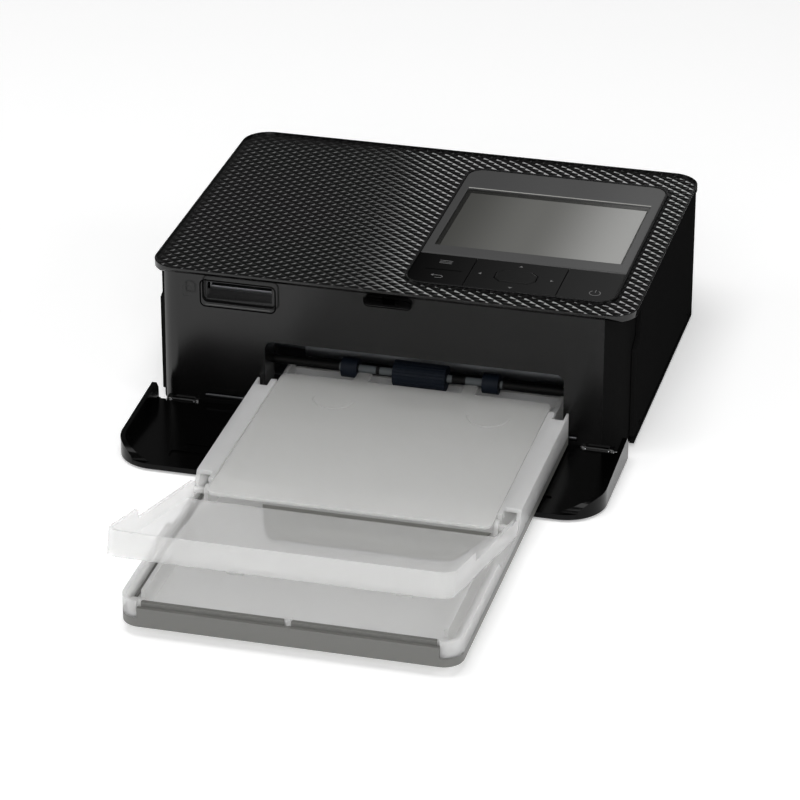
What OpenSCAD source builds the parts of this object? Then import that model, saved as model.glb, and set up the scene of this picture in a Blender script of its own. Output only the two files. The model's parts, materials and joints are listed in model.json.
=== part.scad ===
// Compact photo printer, lying open: cover down, paper cassette in its mouth, output lid raised.
// X runs to the right seen from the front, Y to the back, Z up. The origin is the centre of the
// printer's footprint on the table.

/* [Body] */
// Width across the top plate
body_w = 182.2; // [176:0.1:196]
// Depth across the top plate
body_d = 133; // [130:0.5:145]
// Height of the top plate's rim above the table
body_h = 57.6; // [56:0.1:64]
// Thickness of the outer walls
wall_t = 1.8; // [1.4:0.1:2]
// How far the walls stand in from the top plate's edge at the sides and back
side_inset = 0.65; // [0.4:0.05:1.2]
// How far the top plate overhangs the front wall, the closed cover's thickness
front_lip = 2; // [1.8:0.1:2.6]
// Height of the walls' lower edge above the table
foot_gap = 1.6; // [1.4:0.1:2]
// Radius of the rubber feet
foot_r = 5; // [3.5:0.5:6]
// Thickness of the top plate
top_t = 2.4; // [2.2:0.1:3]
// Corner radius of the top plate
top_r = 10.5; // [9:0.5:13]
// Width of the top plate's smooth rim
rim_w = 0.6; // [0.4:0.1:2]
// Depth of the knurled field below the rim
field_depth = 0.6; // [0.4:0.1:0.9]
// Radius of the walls' rear corners
wall_r = 8.3; // [6:0.1:10]
// Height of the finger notches' lower edge at the front of both sides
notch_z = 39.5; // [34:0.5:44]

/* [Paper mouth] */
// Middle of the paper path, right of the body's middle
path_x = 9.4; // [8.4:0.1:10]
// Width of the mouth
mouth_w = 113; // [111:0.5:116]
// Top of the mouth above the table
mouth_top = 31; // [30:0.5:34]
// Depth of the mouth's lining behind the front wall
mouth_depth = 12; // [9:0.5:14]

/* [Front details] */
// Middle of the memory-card recess, left of the body's middle
card_x = 56.8; // [54:0.1:59]
// Width of the memory-card recess
card_w = 28; // [27:0.1:30]
// Height of the memory-card recess
card_h = 9.4; // [8.8:0.1:9.8]
// Width of the oval latch keeper
keeper_w = 17.8; // [14:0.1:22]
// Height of the oval latch keeper
keeper_h = 3.6; // [3:0.1:3.8]
// Radius of the pale rods beside the mouth
rod_r = 0.8; // [0.6:0.05:1]

/* [Display and keys] */
// Width of the display panel
panel_w = 77.6; // [76:0.1:79]
// Depth of the display panel with its keys
panel_d = 105.2; // [103:0.1:108]
// Margin between the panel and the top plate's right edge
panel_side = 10.3; // [9.8:0.1:11.3]
// Middle of the panel, in front of the body's middle
panel_back = 1.5; // [0.5:0.1:2.5]
// Corner radius of the panel
panel_r = 6; // [4:0.5:8]
// Depth of the panel's face below the rim
panel_drop = 0.3; // [0.1:0.05:0.5]
// Depth of the key row
key_d = 25.1; // [22:0.1:27]
// Width of the left key
left_key_w = 21.6; // [19:0.1:24]
// Width of the power key
power_key_w = 21; // [19:0.1:24]
// Gap round every key
key_gap = 0.35; // [0.3:0.05:0.5]
// Travel of the keys that push straight down
key_travel = 0.4; // [0.3:0.05:0.5]
// Width of the OK key
ok_w = 15.2; // [13:0.1:17]
// Depth of the OK key
ok_d = 9.6; // [8:0.1:11]
// Width of the screen's window
screen_w = 71.4; // [68:0.1:73]
// Depth of the screen's window
screen_d = 53.8; // [50:0.1:56]

/* [Front cover] */
// Reach of the open cover in front of its hinge
cover_reach = 52.4; // [50:0.1:52.6]
// Thickness of the cover
cover_t = 2; // [1.6:0.1:2.2]
// Height of the cover's side wings above the cover's underside
wing_h = 9.2; // [7:0.1:10]
// Corner radius of the cover in plan
cover_r = 15; // [12:0.5:18]
// Radius of the cover's hinge pins
cover_pin_r = 0.8; // [0.6:0.05:0.9]

/* [Paper cassette] */
// Width of the cassette in front of the mouth
tray_w = 117.8; // [116.8:0.1:120]
// Reach of the cassette in front of the front wall
tray_reach = 167; // [164:0.5:175]
// Height of the cassette's underside above the table
tray_z = 4.2; // [3.9:0.1:4.6]
// Height of the cassette's rear half
tray_h = 12.5; // [12.1:0.1:13]
// Height of the grey base's rim
base_rim = 3.3; // [2.6:0.1:4]
// Height of the grey strip across the cassette's front
strip_h = 7.1; // [5:0.1:8]
// Thickness of the cassette's walls
tray_wall = 1.5; // [1.2:0.1:1.7]
// Width of the paper the lane takes
paper_w = 100; // [98:0.5:101]
// Length of the paper
paper_l = 148; // [140:0.5:150]
// Tilt of the raised output lid
lid_tilt = 16; // [14:0.1:20]
// Reach of the output lid in front of its pivots
lid_reach = 97; // [92:0.1:99]
// Height of the output lid's front rim
lid_rim = 8.8; // [8:0.1:10]
// Length of the high corner tabs at the output lid's front
lid_tab = 33.5; // [24:0.5:38]
// Thickness of the lids
lid_t = 1.2; // [1:0.1:1.4]

/* [Mechanism] */
// Radius of the middle pickup roller
pickup_r = 4.8; // [4.4:0.1:4.9]
// Radius of the outer pickup rollers
pickup_small_r = 3.8; // [3.4:0.1:4.2]
// Radius of the roller shafts
shaft_r = 1.5; // [1.2:0.1:1.8]
// Radial clearance of a turning shaft in its hole
run_gap = 0.05; // [0.03:0.01:0.08]
// Height of the paper's path through the rollers
path_z = 15; // [14.8:0.1:15.4]
// Radius of the capstan roller
capstan_r = 4; // [3.6:0.1:4.2]
// Radius of the pinch roller
pinch_r = 3; // [2.6:0.1:3.4]
// Radius of the platen roller
platen_r = 5; // [4.6:0.1:5.2]
// Thickness of the chassis plates
plate_t = 1.2; // [1:0.1:1.5]
// Gear module
gear_m = 0.8; // [0.76:0.01:0.82]
// Width of the gears
gear_w = 4; // [3:0.5:4.5]
// Radius of the motors
motor_r = 9; // [7:0.5:9.5]
// Radius of the full ribbon roll
supply_roll_r = 11; // [8:0.5:11.5]
// Radius of the used ribbon roll
takeup_roll_r = 9; // [6:0.5:11]

/* [Hidden] */
$fn = 48;

fit = 0.3;                                  // clearance between pieces that move past each other
seat = 0.02;                                // clearance of a fixed piece in its seat

// Outer walls
half_w = body_w / 2;
half_d = body_d / 2;
side_x = half_w - side_inset;               // outer face of the side walls
rear_y = half_d - side_inset;               // outer face of the rear wall
face_y = front_lip - half_d;                // outer face of the front wall
in_x = side_x - wall_t;                     // inner face of the side walls
in_y = rear_y - wall_t;
top_z0 = body_h - top_t;                    // underside of the top plate
wall_top = top_z0 - 0.1;
bezel_x = in_x - 0.25;                      // outer face of the front wall's returns
bezel_r = 8;
bezel_in = face_y + wall_t + 0.4;           // inner face of the front wall
low_front = face_y + 10;                    // front edge of the side walls below the notches
high_front = face_y + 16.5;                 // front edge of the side walls above the notches
side_split = side_x - 10.45;                // where the side walls meet the rear wall
floor_t = 2;
floor_top = foot_gap + floor_t;
floor_x = bezel_x - wall_t - 0.1;
floor_front = bezel_in + 0.6;

// Mouth and cassette widths, all about the middle of the paper path
mouth_l = path_x - mouth_w / 2;
mouth_r = path_x + mouth_w / 2;
lane_half = paper_w / 2 + 1.5;              // half the width of the paper's lane
neck_half = lane_half + tray_wall;          // half the width of the cassette's rear neck
tray_l = path_x - tray_w / 2;
tray_r = path_x + tray_w / 2;
tray_front = face_y - tray_reach;
tray_back = face_y - 1.5;                   // the shoulders that stop against the front wall
neck_back = face_y + 24.5;
rear_top = tray_z + tray_h;                 // top of the cassette's rear half
rim_top = tray_z + base_rim;
tray_floor = 1.4;
lane_z = tray_z + tray_floor;
strip_half = tray_w / 2 - 6.75;
strip_t = 1.6;
tray_corner = 7;

// Output lid
pivot_y = face_y - 85.5;
pivot_z = rear_top - 3.3;
pivot_r = 1.2;
lid_low = 3;                                // the lid's floor lies this far under its pivots
lid_side_h = 2.6;                           // the low sides stand this far above the pivots
lid_swing = 120;
front_half_top = pivot_z - lid_low - fit;   // walls under the lid's floor, close to its pivots
front_top = 13.8;                           // walls further forward

// Rollers
pickup_y = face_y + 14.5;
pickup_z = lane_z + 11.4;
pickup_pitch = 26.9;
capstan_y = face_y + 40.5;
capstan_z = path_z - 0.15 - capstan_r;
pinch_z = path_z + 0.15 + pinch_r;
platen_y = face_y + 70.5;
platen_z = path_z - 0.15 - platen_r;
plate_l = path_x - lane_half - 15.1;        // outer face of the left chassis plate
plate_r = path_x + lane_half + 12.3;        // outer face of the right chassis plate
plate_top = 44;
gear_x = plate_l - 1;                       // right-hand face of every gear
supply_y = platen_y - 22;
takeup_y = platen_y + 22;
spool_z = 31;
spool_r = 4.5;
journal_r = 3;
head_y0 = platen_y - 5;
head_y1 = platen_y + 5;
head_top = body_h - 11.6;
head_pivot_y = platen_y + 38;
head_pivot_z = head_top + 1;

// Gear train: teeth and places
capstan_n = 15;
pickup_n = 24;
idler_n = 12;
pinion_n = 12;
takeup_n = 30;
function pitch_r(n) = gear_m * n / 2;
function centres(a, b) = pitch_r(a) + pitch_r(b);
// The point that lies at distance ra from a and rb from b, above the line between them
function above(a, b, ra, rb) =
  let (d = norm(b - a), u = (b - a) / d, s = (ra * ra - rb * rb + d * d) / (2 * d),
      h = sqrt(ra * ra - s * s))
  a + s * u + (u[0] > 0 ? h : -h) * [-u[1], u[0]];
capstan_at = [capstan_y, capstan_z];
pickup_at = [pickup_y, pickup_z];
takeup_at = [takeup_y, spool_z];
idler_angle = 115;
rear_at = capstan_at + centres(capstan_n, idler_n) * [cos(idler_angle), sin(idler_angle)];
front_at = above(rear_at, pickup_at, centres(idler_n, idler_n), centres(idler_n, pickup_n));
feed_angle = 50;
feed_at = capstan_at + centres(capstan_n, pinion_n) * [cos(feed_angle), sin(feed_angle)];
ribbon_angle = -35;
ribbon_at = takeup_at + centres(takeup_n, pinion_n) * [cos(ribbon_angle), sin(ribbon_angle)];
function heading(a, b) = atan2(b[1] - a[1], b[0] - a[0]);
// Turn of the gear at b that brings its teeth into mesh with the gear at a
function mesh_turn(turn_a, na, nb, a, b) =
  let (line = heading(a, b)) line + 180 + 180 / nb - (turn_a - line) * na / nb;
capstan_turn = 0;
rear_turn = mesh_turn(capstan_turn, capstan_n, idler_n, capstan_at, rear_at);
front_turn = mesh_turn(rear_turn, idler_n, idler_n, rear_at, front_at);
pickup_turn = mesh_turn(front_turn, idler_n, pickup_n, front_at, pickup_at);
feed_turn = mesh_turn(capstan_turn, capstan_n, pinion_n, capstan_at, feed_at);
takeup_turn = 0;
ribbon_turn = mesh_turn(takeup_turn, takeup_n, pinion_n, takeup_at, ribbon_at);

// Display panel and keys
panel_x = half_w - panel_side - panel_w / 2;
panel_l = panel_x - panel_w / 2;
panel_rt = panel_x + panel_w / 2;
panel_y0 = -panel_back - panel_d / 2;
panel_y1 = -panel_back + panel_d / 2;
panel_top = body_h - panel_drop;
panel_t = 1.2;
panel_split = panel_y0 + key_d;             // line between the keys and the display
key_t = 1.8;
key_bottom = panel_top - key_t;
ledge_w = 1.5;
pad_l = panel_l + left_key_w + key_gap;
pad_r = panel_rt - power_key_w - key_gap;
pad_x = (pad_l + pad_r) / 2;
key_y = panel_y0 + key_d / 2;
screen_y = panel_split + 8.2 + screen_d / 2;
board_top = panel_top - 5.9;
dome_h = 1;
stem_bottom = board_top + dome_h + key_travel + 0.15;
carrier_z = key_bottom - 1.4;

// Front details
card_z = wall_top - 1.2 - card_h / 2;
slot_z = card_z + 1.4;
keeper_z = top_z0 - 0.5 - keeper_h / 2;
rod_y = face_y + 0.9;
rod_z = 5.8;

// Front cover and its hinge
hinge_y = face_y - 0.5;
hinge_z = 2.5;
cover_z0 = hinge_z - 1.5;
cover_front = hinge_y - cover_reach;
cover_back = face_y - 0.4;
knuckle_x = (mouth_r + side_x) / 2 + 0.825;   // halfway between the mouth and the side
knuckle_w = 8.4;
knuckle_r = 1.5;
ear_w = 1.6;
cover_pin_l = knuckle_w + 2 * (ear_w + fit);

// Ink door and its hinge
door_axis_x = side_x - 1.15;
door_axis_z = foot_gap + 3;
door_pin_r = 0.6;
door_y1 = rear_y - wall_r - 0.35;
door_top = wall_top - 1.4;
door_bottom = door_axis_z - 1.15;
lug_ys = [face_y + 19, rear_y - wall_r - 9];
lug_w = 3;
knuckle_l = 6;

// Feet, screws and boards
foot_x = half_w - 17.1;
foot_at = [                                 // four at the corners and one in the middle
  [0, 0], for (s = [-1, 1], y = [face_y + 16.5, rear_y - 13.85]) [s * foot_x, y]
];
screw_r = 1.2;
screw_head_r = 2.4;
post_x = half_w - 9.1;
post_r = 3.4;
screw_at = [for (x = [-post_x, post_x], y = [face_y + 14.5, rear_y - 9]) [x, y]];
board_z0 = wall_top - 9.1;
board_t = 1.6;
board_l = 3.15 - in_x;
board_r = plate_l - 7.3;
board_posts = [
  [board_l + 2.5, face_y + 30.5], [board_r - 3, face_y + 30.5], [board_l + 1.1, in_y - 19.05],
  [board_r - 3, in_y - 7.05]
];
dc_x = 15.05 - in_x;                        // middle of the two sockets in the rear wall
rod_end = 0.6;                              // how far the pale rods reach into the wall
rod_spans = [[mouth_l - 23.9, mouth_l - 1], [mouth_r + 1, mouth_r + 5.7]];
board_pins = [for (x = [panel_l - 3.4, panel_rt + 3.4], y = [panel_y0 + 6, panel_y1 - 6]) [x, y]];

// Ink bay
ink_l = path_x - lane_half - 7.5;
ink_r = in_x - 3.4;
ink_y0 = supply_y - 15;
ink_y1 = takeup_y + 14;
ink_z0 = spool_z - 13;
ink_z1 = spool_z + 13;

// Switches under the keys
left_key_x = panel_l + left_key_w / 2;
power_key_x = panel_rt - power_key_w / 2;
rock = 6.5;                                 // left key's two switches, before and behind its middle
pad_reach = [13, 8.6];                      // four-way pad's switches, sideways and fore and aft
axle_r = 0.7;
carrier_axle_z = carrier_z - 0.3;
pad_axle_z = key_bottom - 0.4;
dome_r = 1.9;
dome_at = concat(
  [[left_key_x, key_y - rock], [left_key_x, key_y + rock], [power_key_x, key_y], [pad_x, key_y]],
  [for (a = [0:90:270]) [pad_x + pad_reach[0] * cos(a), key_y + pad_reach[1] * sin(a)]]
);

// Motor bracket
bracket_x = gear_x - gear_w - 1.2;
motor_back = 8.65 - in_x;                   // left end of both motors
motor_shaft_r = 1;
standoffs = [[capstan_y - 2, 30], [platen_y + 6, 30], [takeup_y + 12, 12], [platen_y - 4, 12]];

// Cassette's inside
rim_w0 = tray_wall + 0.2;                   // width of the grey frame
step_z = tray_z + strip_h - 2;              // foot of the step behind the strip
plate_shift = 6.5;                          // grey plate's middle, right of the lane's middle
plate_front_w = 68.6;
plate_rear_w = 83;
plate_d = 22.8;
plate_sink = 0.4;
paper_y1 = neck_back - 2.4;
paper_y0 = paper_y1 - paper_l;
inner_front = pivot_y + 3.4;
inner_hinge_y = inner_front + 2.4;
inner_hinge_z = rear_top - 1.9;
inner_pin_r = 1;
inner_reach = 9.6;                          // how far the inner lid runs on in front of its walls
lid_start = 7.6;                            // the lid's floor starts this far in front of its pivots
lid_pin_l = tray_w / 2 - lane_half - fit - tray_wall / 2;

// ---- helpers ----

module box(x0, x1, y0, y1, z0, z1) translate([x0, y0, z0]) cube([x1 - x0, y1 - y0, z1 - z0]);

// Rectangle with round corners
module rrect(x0, x1, y0, y1, r) {
  translate([x0 + r, y0]) square([x1 - x0 - 2 * r, y1 - y0]);
  translate([x0, y0 + r]) square([x1 - x0, y1 - y0 - 2 * r]);
  for (x = [x0 + r, x1 - r], y = [y0 + r, y1 - r]) translate([x, y]) circle(r);
}

// Round-cornered plate lying flat
module slab(x0, x1, y0, y1, r, z0, z1) translate([0, 0, z0]) linear_extrude(z1 - z0) rrect(x0, x1, y0,
    y1, r);

// Round-cornered plate standing across the body, its outline in X and Z
module upright(x0, x1, z0, z1, r, y0, y1)
  translate([0, y1, 0]) rotate([90, 0, 0]) linear_extrude(y1 - y0) rrect(x0, x1, z0, z1, r);

module rod_x(x0, x1, y, z, r) translate([x0, y, z]) rotate([0, 90, 0]) cylinder(h = x1 - x0, r = r);
module rod_y(y0, y1, x, z, r) translate([x, y1, z]) rotate([90, 0, 0]) cylinder(h = y1 - y0, r = r);
module rod_z(z0, z1, x, y, r) translate([x, y, z0]) cylinder(h = z1 - z0, r = r);

// Outline in Y and Z, extruded along X
module profile_x(x0, x1, points)
  translate([x0, 0, 0]) rotate([90, 0, 90]) linear_extrude(x1 - x0) polygon(points);

// Involute gear with its axis along X, its teeth turned by turn degrees
function involute(base, t) = base * [cos(t) + t * PI / 180 * sin(t), sin(t) - t * PI / 180 * cos(t)];
function turned(p, a) = [p[0] * cos(a) - p[1] * sin(a), p[0] * sin(a) + p[1] * cos(a)];
function roll_at(base, r) = sqrt(max(0, r * r / (base * base) - 1)) * 180 / PI;
module gear(n, bore, at, turn, x0, x1) {
  pr = pitch_r(n);
  base = pr * cos(20);
  tip = pr + gear_m;
  root = pr - 1.2 * gear_m;
  slack = 0.16;                             // play left at the pitch circle
  start = max(base, root);
  t0 = roll_at(base, pr);
  lean = atan2(involute(base, t0)[1], involute(base, t0)[0]);
  half = 90 / n - slack / 2 / pr * 180 / PI + lean;
  steps = 3;
  flank = [for (i = [0:steps]) let (t = roll_at(base, start + (tip - start) * i / steps))
    turned(involute(base, t), -half)];
  tooth = concat([turned([root, 0], -half)], flank,
    [for (i = [steps:-1:0]) [flank[i][0], -flank[i][1]]], [turned([root, 0], half)]);
  translate([x0, at[0], at[1]]) rotate([90, 0, 90]) rotate([0, 0, turn]) linear_extrude(x1 - x0)
    difference() {
      polygon([for (k = [0:n - 1], p = tooth) turned(p, 360 * k / n)]);
      circle(bore);
    }
}

// ---- shell ----

// The ring of the side and rear walls, open to the front
module wall_ring() {
  difference() {
    slab(-side_x, side_x, face_y - 30, rear_y, wall_r, foot_gap, wall_top);
    slab(-in_x, in_x, face_y - 40, in_y, wall_r - wall_t, foot_gap - 1, wall_top + 1);
    for (s = [-1, 1]) profile_x(s * side_x - 5, s * side_x + 5, [
      [face_y - 50, foot_gap - 1], [low_front, foot_gap - 1], [low_front, notch_z],
      [high_front, notch_z + 3], [high_front, wall_top + 1], [face_y - 50, wall_top + 1]
    ]);
    box(-side_x - 1, side_x + 1, face_y - 50, face_y + 2, 0, wall_top + 2);
  }
}

module base_case() color("#161617") {
  vent_n = 9;
  difference() {
    union() {
      slab(-floor_x, floor_x, floor_front, in_y - 0.1, 6, foot_gap, floor_top);
      slab(0.1 - in_x, floor_x, high_front + 2.1, in_y - 0.1, wall_r - wall_t, foot_gap, floor_top);
      for (p = board_posts) rod_z(floor_top - 0.5, board_z0, p[0], p[1], 2);
      box(dc_x - 4.5, dc_x + 4.5, in_y - 12, in_y - 0.4, floor_top - 0.5, 8);
    }
    // recesses for the feet, holes for the screws and slots for air
    for (p = foot_at) rod_z(foot_gap - 1, foot_gap + 0.4, p[0], p[1], foot_r + 0.1);
    for (p = screw_at) {
      rod_z(foot_gap - 1, floor_top + 1, p[0], p[1], screw_r + 0.2);
      rod_z(foot_gap - 1, foot_gap + 0.9, p[0], p[1], screw_head_r + 0.2);
    }
    for (i = [0:vent_n - 1]) slab(-42 + i * 10, -39.5 + i * 10, 10, 40, 1.2, foot_gap - 1, floor_top + 1);
    // room for the cover's knuckles
    for (s = [-1, 1])
      box(s * knuckle_x - knuckle_w, s * knuckle_x + knuckle_w, face_y - 5, bezel_in + 1.2, 0,
          floor_top + 1);
  }
}

module feet() color("#26262a")
  for (p = foot_at) rod_z(0, foot_gap + 0.4, p[0], p[1], foot_r);

module case_screws() color("#77777c") for (p = screw_at) {
  rod_z(foot_gap + 0.1, foot_gap + 0.9, p[0], p[1], screw_head_r);
  rod_z(foot_gap + 0.9, foot_gap + 8, p[0], p[1], screw_r);
}

module front_bezel() color("#0f0f10") {
  pin_hole = cover_pin_r + seat;
  difference() {
    union() {
      // wall with round corners and short returns
      difference() {
        slab(-bezel_x, bezel_x, face_y, face_y + 60, bezel_r, foot_gap, wall_top);
        slab(-bezel_x + wall_t, bezel_x - wall_t, bezel_in, face_y + 80, bezel_r - wall_t - 0.2, 0,
            wall_top + 1);
        box(-bezel_x - 1, bezel_x + 1, high_front + 2, face_y + 90, 0, wall_top + 1);
      }
      // lining of the mouth
      difference() {
        upright(mouth_l - 1.6, mouth_r + 1.6, floor_top + 0.2, mouth_top + 1.6, 3.5, bezel_in - 0.5,
            face_y + mouth_depth);
        upright(mouth_l, mouth_r, foot_gap - 6, mouth_top, 3, face_y - 1, face_y + 60);
      }
      // pocket behind the card recess and the shelf that carries the reader
      box(-card_x - card_w / 2 - 1.5, -card_x + card_w / 2 + 1.5, bezel_in - 0.5, bezel_in + 2,
          card_z - card_h / 2 - 1.5, slot_z - 1.9);
      box(-card_x - 13.5, -card_x + 13.5, bezel_in - 0.5, bezel_in + 23, slot_z - 4.4, slot_z - 3);
      // ears of the cover's hinge
      for (s = [-1, 1], e = [-1, 1]) {
        x = s * knuckle_x + e * (knuckle_w / 2 + fit + ear_w / 2);
        rod_x(x - ear_w / 2, x + ear_w / 2, hinge_y, hinge_z, knuckle_r);
        box(x - ear_w / 2, x + ear_w / 2, hinge_y, bezel_in, hinge_z - 0.9, hinge_z + knuckle_r);
      }
    }
    upright(mouth_l, mouth_r, foot_gap - 6, mouth_top, 3, face_y - 1, bezel_in + 0.1);
    // card recess, card slot and the slope below it
    upright(-card_x - card_w / 2, -card_x + card_w / 2, card_z - card_h / 2, card_z + card_h / 2, 2,
        face_y - 1, face_y + 1.2);
    box(-card_x - 12.4, -card_x + 12.4, face_y, bezel_in + 3, slot_z - 1.6, slot_z + 1.6);
    profile_x(-card_x - 12.4, -card_x + 12.4, [
      [face_y - 1, slot_z - 1.5], [face_y + 3, slot_z - 1.5], [face_y + 2.2, slot_z - 3.2],
      [face_y + 1, card_z - card_h / 2 + 0.8], [face_y - 1, card_z - card_h / 2 + 0.8]
    ]);
    // room for the side door's front knuckle
    box(bezel_x - 0.6, bezel_x + 1, low_front, high_front + 3, foot_gap + 1, door_axis_z + 1.6);
    // latch window
    upright(-keeper_w / 2 - seat, keeper_w / 2 + seat, keeper_z - keeper_h / 2 - seat,
        keeper_z + keeper_h / 2 + seat, keeper_h / 2, face_y - 1, bezel_in + 1);
    upright(-keeper_w / 2 - 0.5, keeper_w / 2 + 0.5, keeper_z - keeper_h / 2 - 0.4,
        keeper_z + keeper_h / 2 + 0.4, keeper_h / 2 + 0.3, face_y - 1, face_y + 0.8);
    // slots of the pale rods
    for (r = rod_spans) {
      box(r[0] + rod_end, r[1] - rod_end, face_y - 1, rod_y + rod_r + 0.2, rod_z - rod_r - 0.2,
          rod_z + rod_r + 0.7);
      rod_x(r[0] - 0.1, r[1] + 0.1, rod_y, rod_z, rod_r + seat);
    }
    // room for the cover's knuckles, and their pins
    for (s = [-1, 1]) {
      box(s * knuckle_x - knuckle_w / 2 - fit, s * knuckle_x + knuckle_w / 2 + fit, face_y - 5,
          bezel_in + 1, 0, hinge_z + 2.2);
      rod_x(s * knuckle_x - cover_pin_l / 2 - 0.1, s * knuckle_x + cover_pin_l / 2 + 0.1, hinge_y,
          hinge_z, pin_hole);
    }
  }
}

module front_rods() color("#a9aaac") for (r = rod_spans) {
  rod_x(r[0], r[1], rod_y, rod_z, rod_r);
}

module latch_keeper() color("#1c1c1e") difference() {
  upright(-keeper_w / 2, keeper_w / 2, keeper_z - keeper_h / 2, keeper_z + keeper_h / 2,
      keeper_h / 2 - seat, face_y + 0.3, bezel_in + 0.8);
  box(-2.3, 2.3, face_y - 1, bezel_in + 0.2, keeper_z - keeper_h / 2 + 0.5,
      keeper_z + keeper_h / 2 - 0.5);
}

module card_reader() color("#8d8f92") difference() {
  box(-card_x - 12.2, -card_x + 12.2, bezel_in + 2.05, bezel_in + 22, slot_z - 3, slot_z + 2.6);
  box(-card_x - 11.6, -card_x + 11.6, face_y, bezel_in + 20, slot_z - 1.1, slot_z + 1.1);
}

module top_cover() color("#141415") {
  panel_hole = fit / 2;
  edge_t = 0.8;
  difference() {
    union() {
      slab(-half_w, half_w, -half_d, half_d, top_r, top_z0, body_h);
      // posts that take the case screws, and posts that carry the key board
      for (p = screw_at) rod_z(floor_top, top_z0 + 0.5, p[0], p[1], post_r);
      for (p = board_pins) rod_z(board_top, top_z0 + 0.5, p[0], p[1], 1.8);
    }
    for (p = screw_at) rod_z(floor_top - 1, foot_gap + 9, p[0], p[1], screw_r + seat);
    // knurled field, lower than the rim
    difference() {
      slab(-half_w + rim_w, half_w - rim_w, -half_d + rim_w, half_d - rim_w, top_r - rim_w,
          body_h - field_depth, body_h + 1);
      slab(panel_l - 1, panel_rt + 1, panel_y0 - 1, panel_y1 + 1, panel_r + 1, body_h - 2, body_h + 2);
    }
    // the front edge thins down towards the wall
    profile_x(-half_w - 1, half_w + 1, [
      [-half_d - 1, body_h - edge_t], [-half_d, body_h - edge_t], [face_y - 0.1, top_z0],
      [face_y - 0.1, top_z0 - 1], [-half_d - 1, top_z0 - 1]
    ]);
    // seat of the panel, open below it and wide open below the keys
    slab(panel_l - panel_hole, panel_rt + panel_hole, panel_y0 - panel_hole, panel_y1 + panel_hole,
        panel_r,
      panel_top - panel_t, body_h + 1);
    slab(panel_l + ledge_w, panel_rt - ledge_w, panel_y0 + ledge_w, panel_y1 - ledge_w, panel_r - ledge_w,
      top_z0 - 1, body_h);
    intersection() {
      slab(panel_l - panel_hole, panel_rt + panel_hole, panel_y0 - panel_hole, panel_y1 + panel_hole,
          panel_r,
        top_z0 - 1, body_h);
      box(panel_l - 5, panel_rt + 5, panel_y0 - 5, panel_split, top_z0 - 2, body_h);
    }
  }
}

module left_panel() color("#121213") intersection() {
  wall_ring();
  box(-side_x - 1, -side_split, face_y - 1, rear_y + 1, 0, body_h);
}

module rear_panel() color("#121213") difference() {
  intersection() {
    wall_ring();
    box(-side_split + 0.1, side_split - 0.1, in_y - 1, rear_y + 1, 0, body_h);
  }
  upright(path_x - neck_half - 1, path_x + neck_half + 1, path_z - 2.5, path_z + 4, 1.5, in_y - 1,
      rear_y + 1);
  upright(dc_x - 4.2, dc_x + 4.2, 8.2, 15.8, 1, in_y - 1, rear_y + 1);
  upright(dc_x - 4.6, dc_x + 4.6, board_z0 + board_t + 0.1, board_z0 + board_t + 3.4, 1.5, in_y - 1,
      rear_y + 1);
  for (i = [0:15], r = [0:1]) upright(-30 + i * 6, -27.5 + i * 6, 30 + r * 9, 36 + r * 9, 1.2,
      in_y - 1, rear_y + 1);
}

module right_frame() color("#121213") {
  difference() {
    intersection() {
      wall_ring();
      box(side_split, side_x + 1, low_front, rear_y + 1, 0, body_h);
    }
    // the door's opening
    box(in_x - 1, side_x + 2, face_y - 1, door_y1 + fit, door_bottom - 0.65, door_top + fit);
  }
  // inner frame round the ink bay
  difference() {
    box(in_x - 1.75, in_x - 0.35, high_front + 2.6, in_y - 4, foot_gap, wall_top - 0.2);
    box(in_x - 3, in_x + 1, ink_y0 - 3, ink_y1 + 3, ink_z0 - 3, ink_z1 + 2.2);
    box(in_x - 0.8, in_x + 1, high_front, door_y1 + fit, 0, door_axis_z + 2);
  }
  // strips that tie the inner frame to the outer wall
  box(in_x - 1.75, in_x + 0.5, high_front + 2.6, in_y - 9, wall_top - 1, wall_top - 0.2);
  box(in_x - 1.75, in_x + 0.5, door_y1 + fit, in_y - 4, foot_gap, wall_top - 0.2);
  box(in_x - 1.75, side_x - 0.5, high_front + 2.6, in_y - 6, foot_gap, foot_gap + 1.2);
  for (y = lug_ys) difference() {
    union() {
      rod_y(y - lug_w / 2, y + lug_w / 2, door_axis_x, door_axis_z, 1.15);
      box(door_axis_x - 0.9, side_x - 0.1, y - lug_w / 2, y + lug_w / 2, foot_gap, door_axis_z);
    }
    rod_y(y - 5, y + 5, door_axis_x, door_axis_z, door_pin_r + seat);
  }
}

module ink_door() color("#131314") difference() {
  union() {
    difference() {
      profile_x(in_x, side_x, [
        [low_front, door_bottom + 1.15], [door_y1, door_bottom + 1.15], [door_y1, door_top],
        [high_front, door_top], [high_front, notch_z + 3], [low_front, notch_z]
      ]);
      for (y = lug_ys) box(in_x - 1, side_x + 1, y - lug_w / 2 - fit, y + lug_w / 2 + fit, 0,
          door_axis_z + 2);
    }
    for (y = lug_ys, s = [-1, 1]) {
      a = y + s * (lug_w / 2 + fit + knuckle_l / 2);
      rod_y(a - knuckle_l / 2, a + knuckle_l / 2, door_axis_x, door_axis_z, 1.15);
    }
  }
  for (y = lug_ys) rod_y(y - 7.9, y + 7.9, door_axis_x, door_axis_z, door_pin_r + run_gap);
}

module door_pins() color("#9a9b9e")
  for (y = lug_ys) rod_y(y - 6.5, y + 6.5, door_axis_x, door_axis_z, door_pin_r);

// ---- front cover ----

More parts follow.
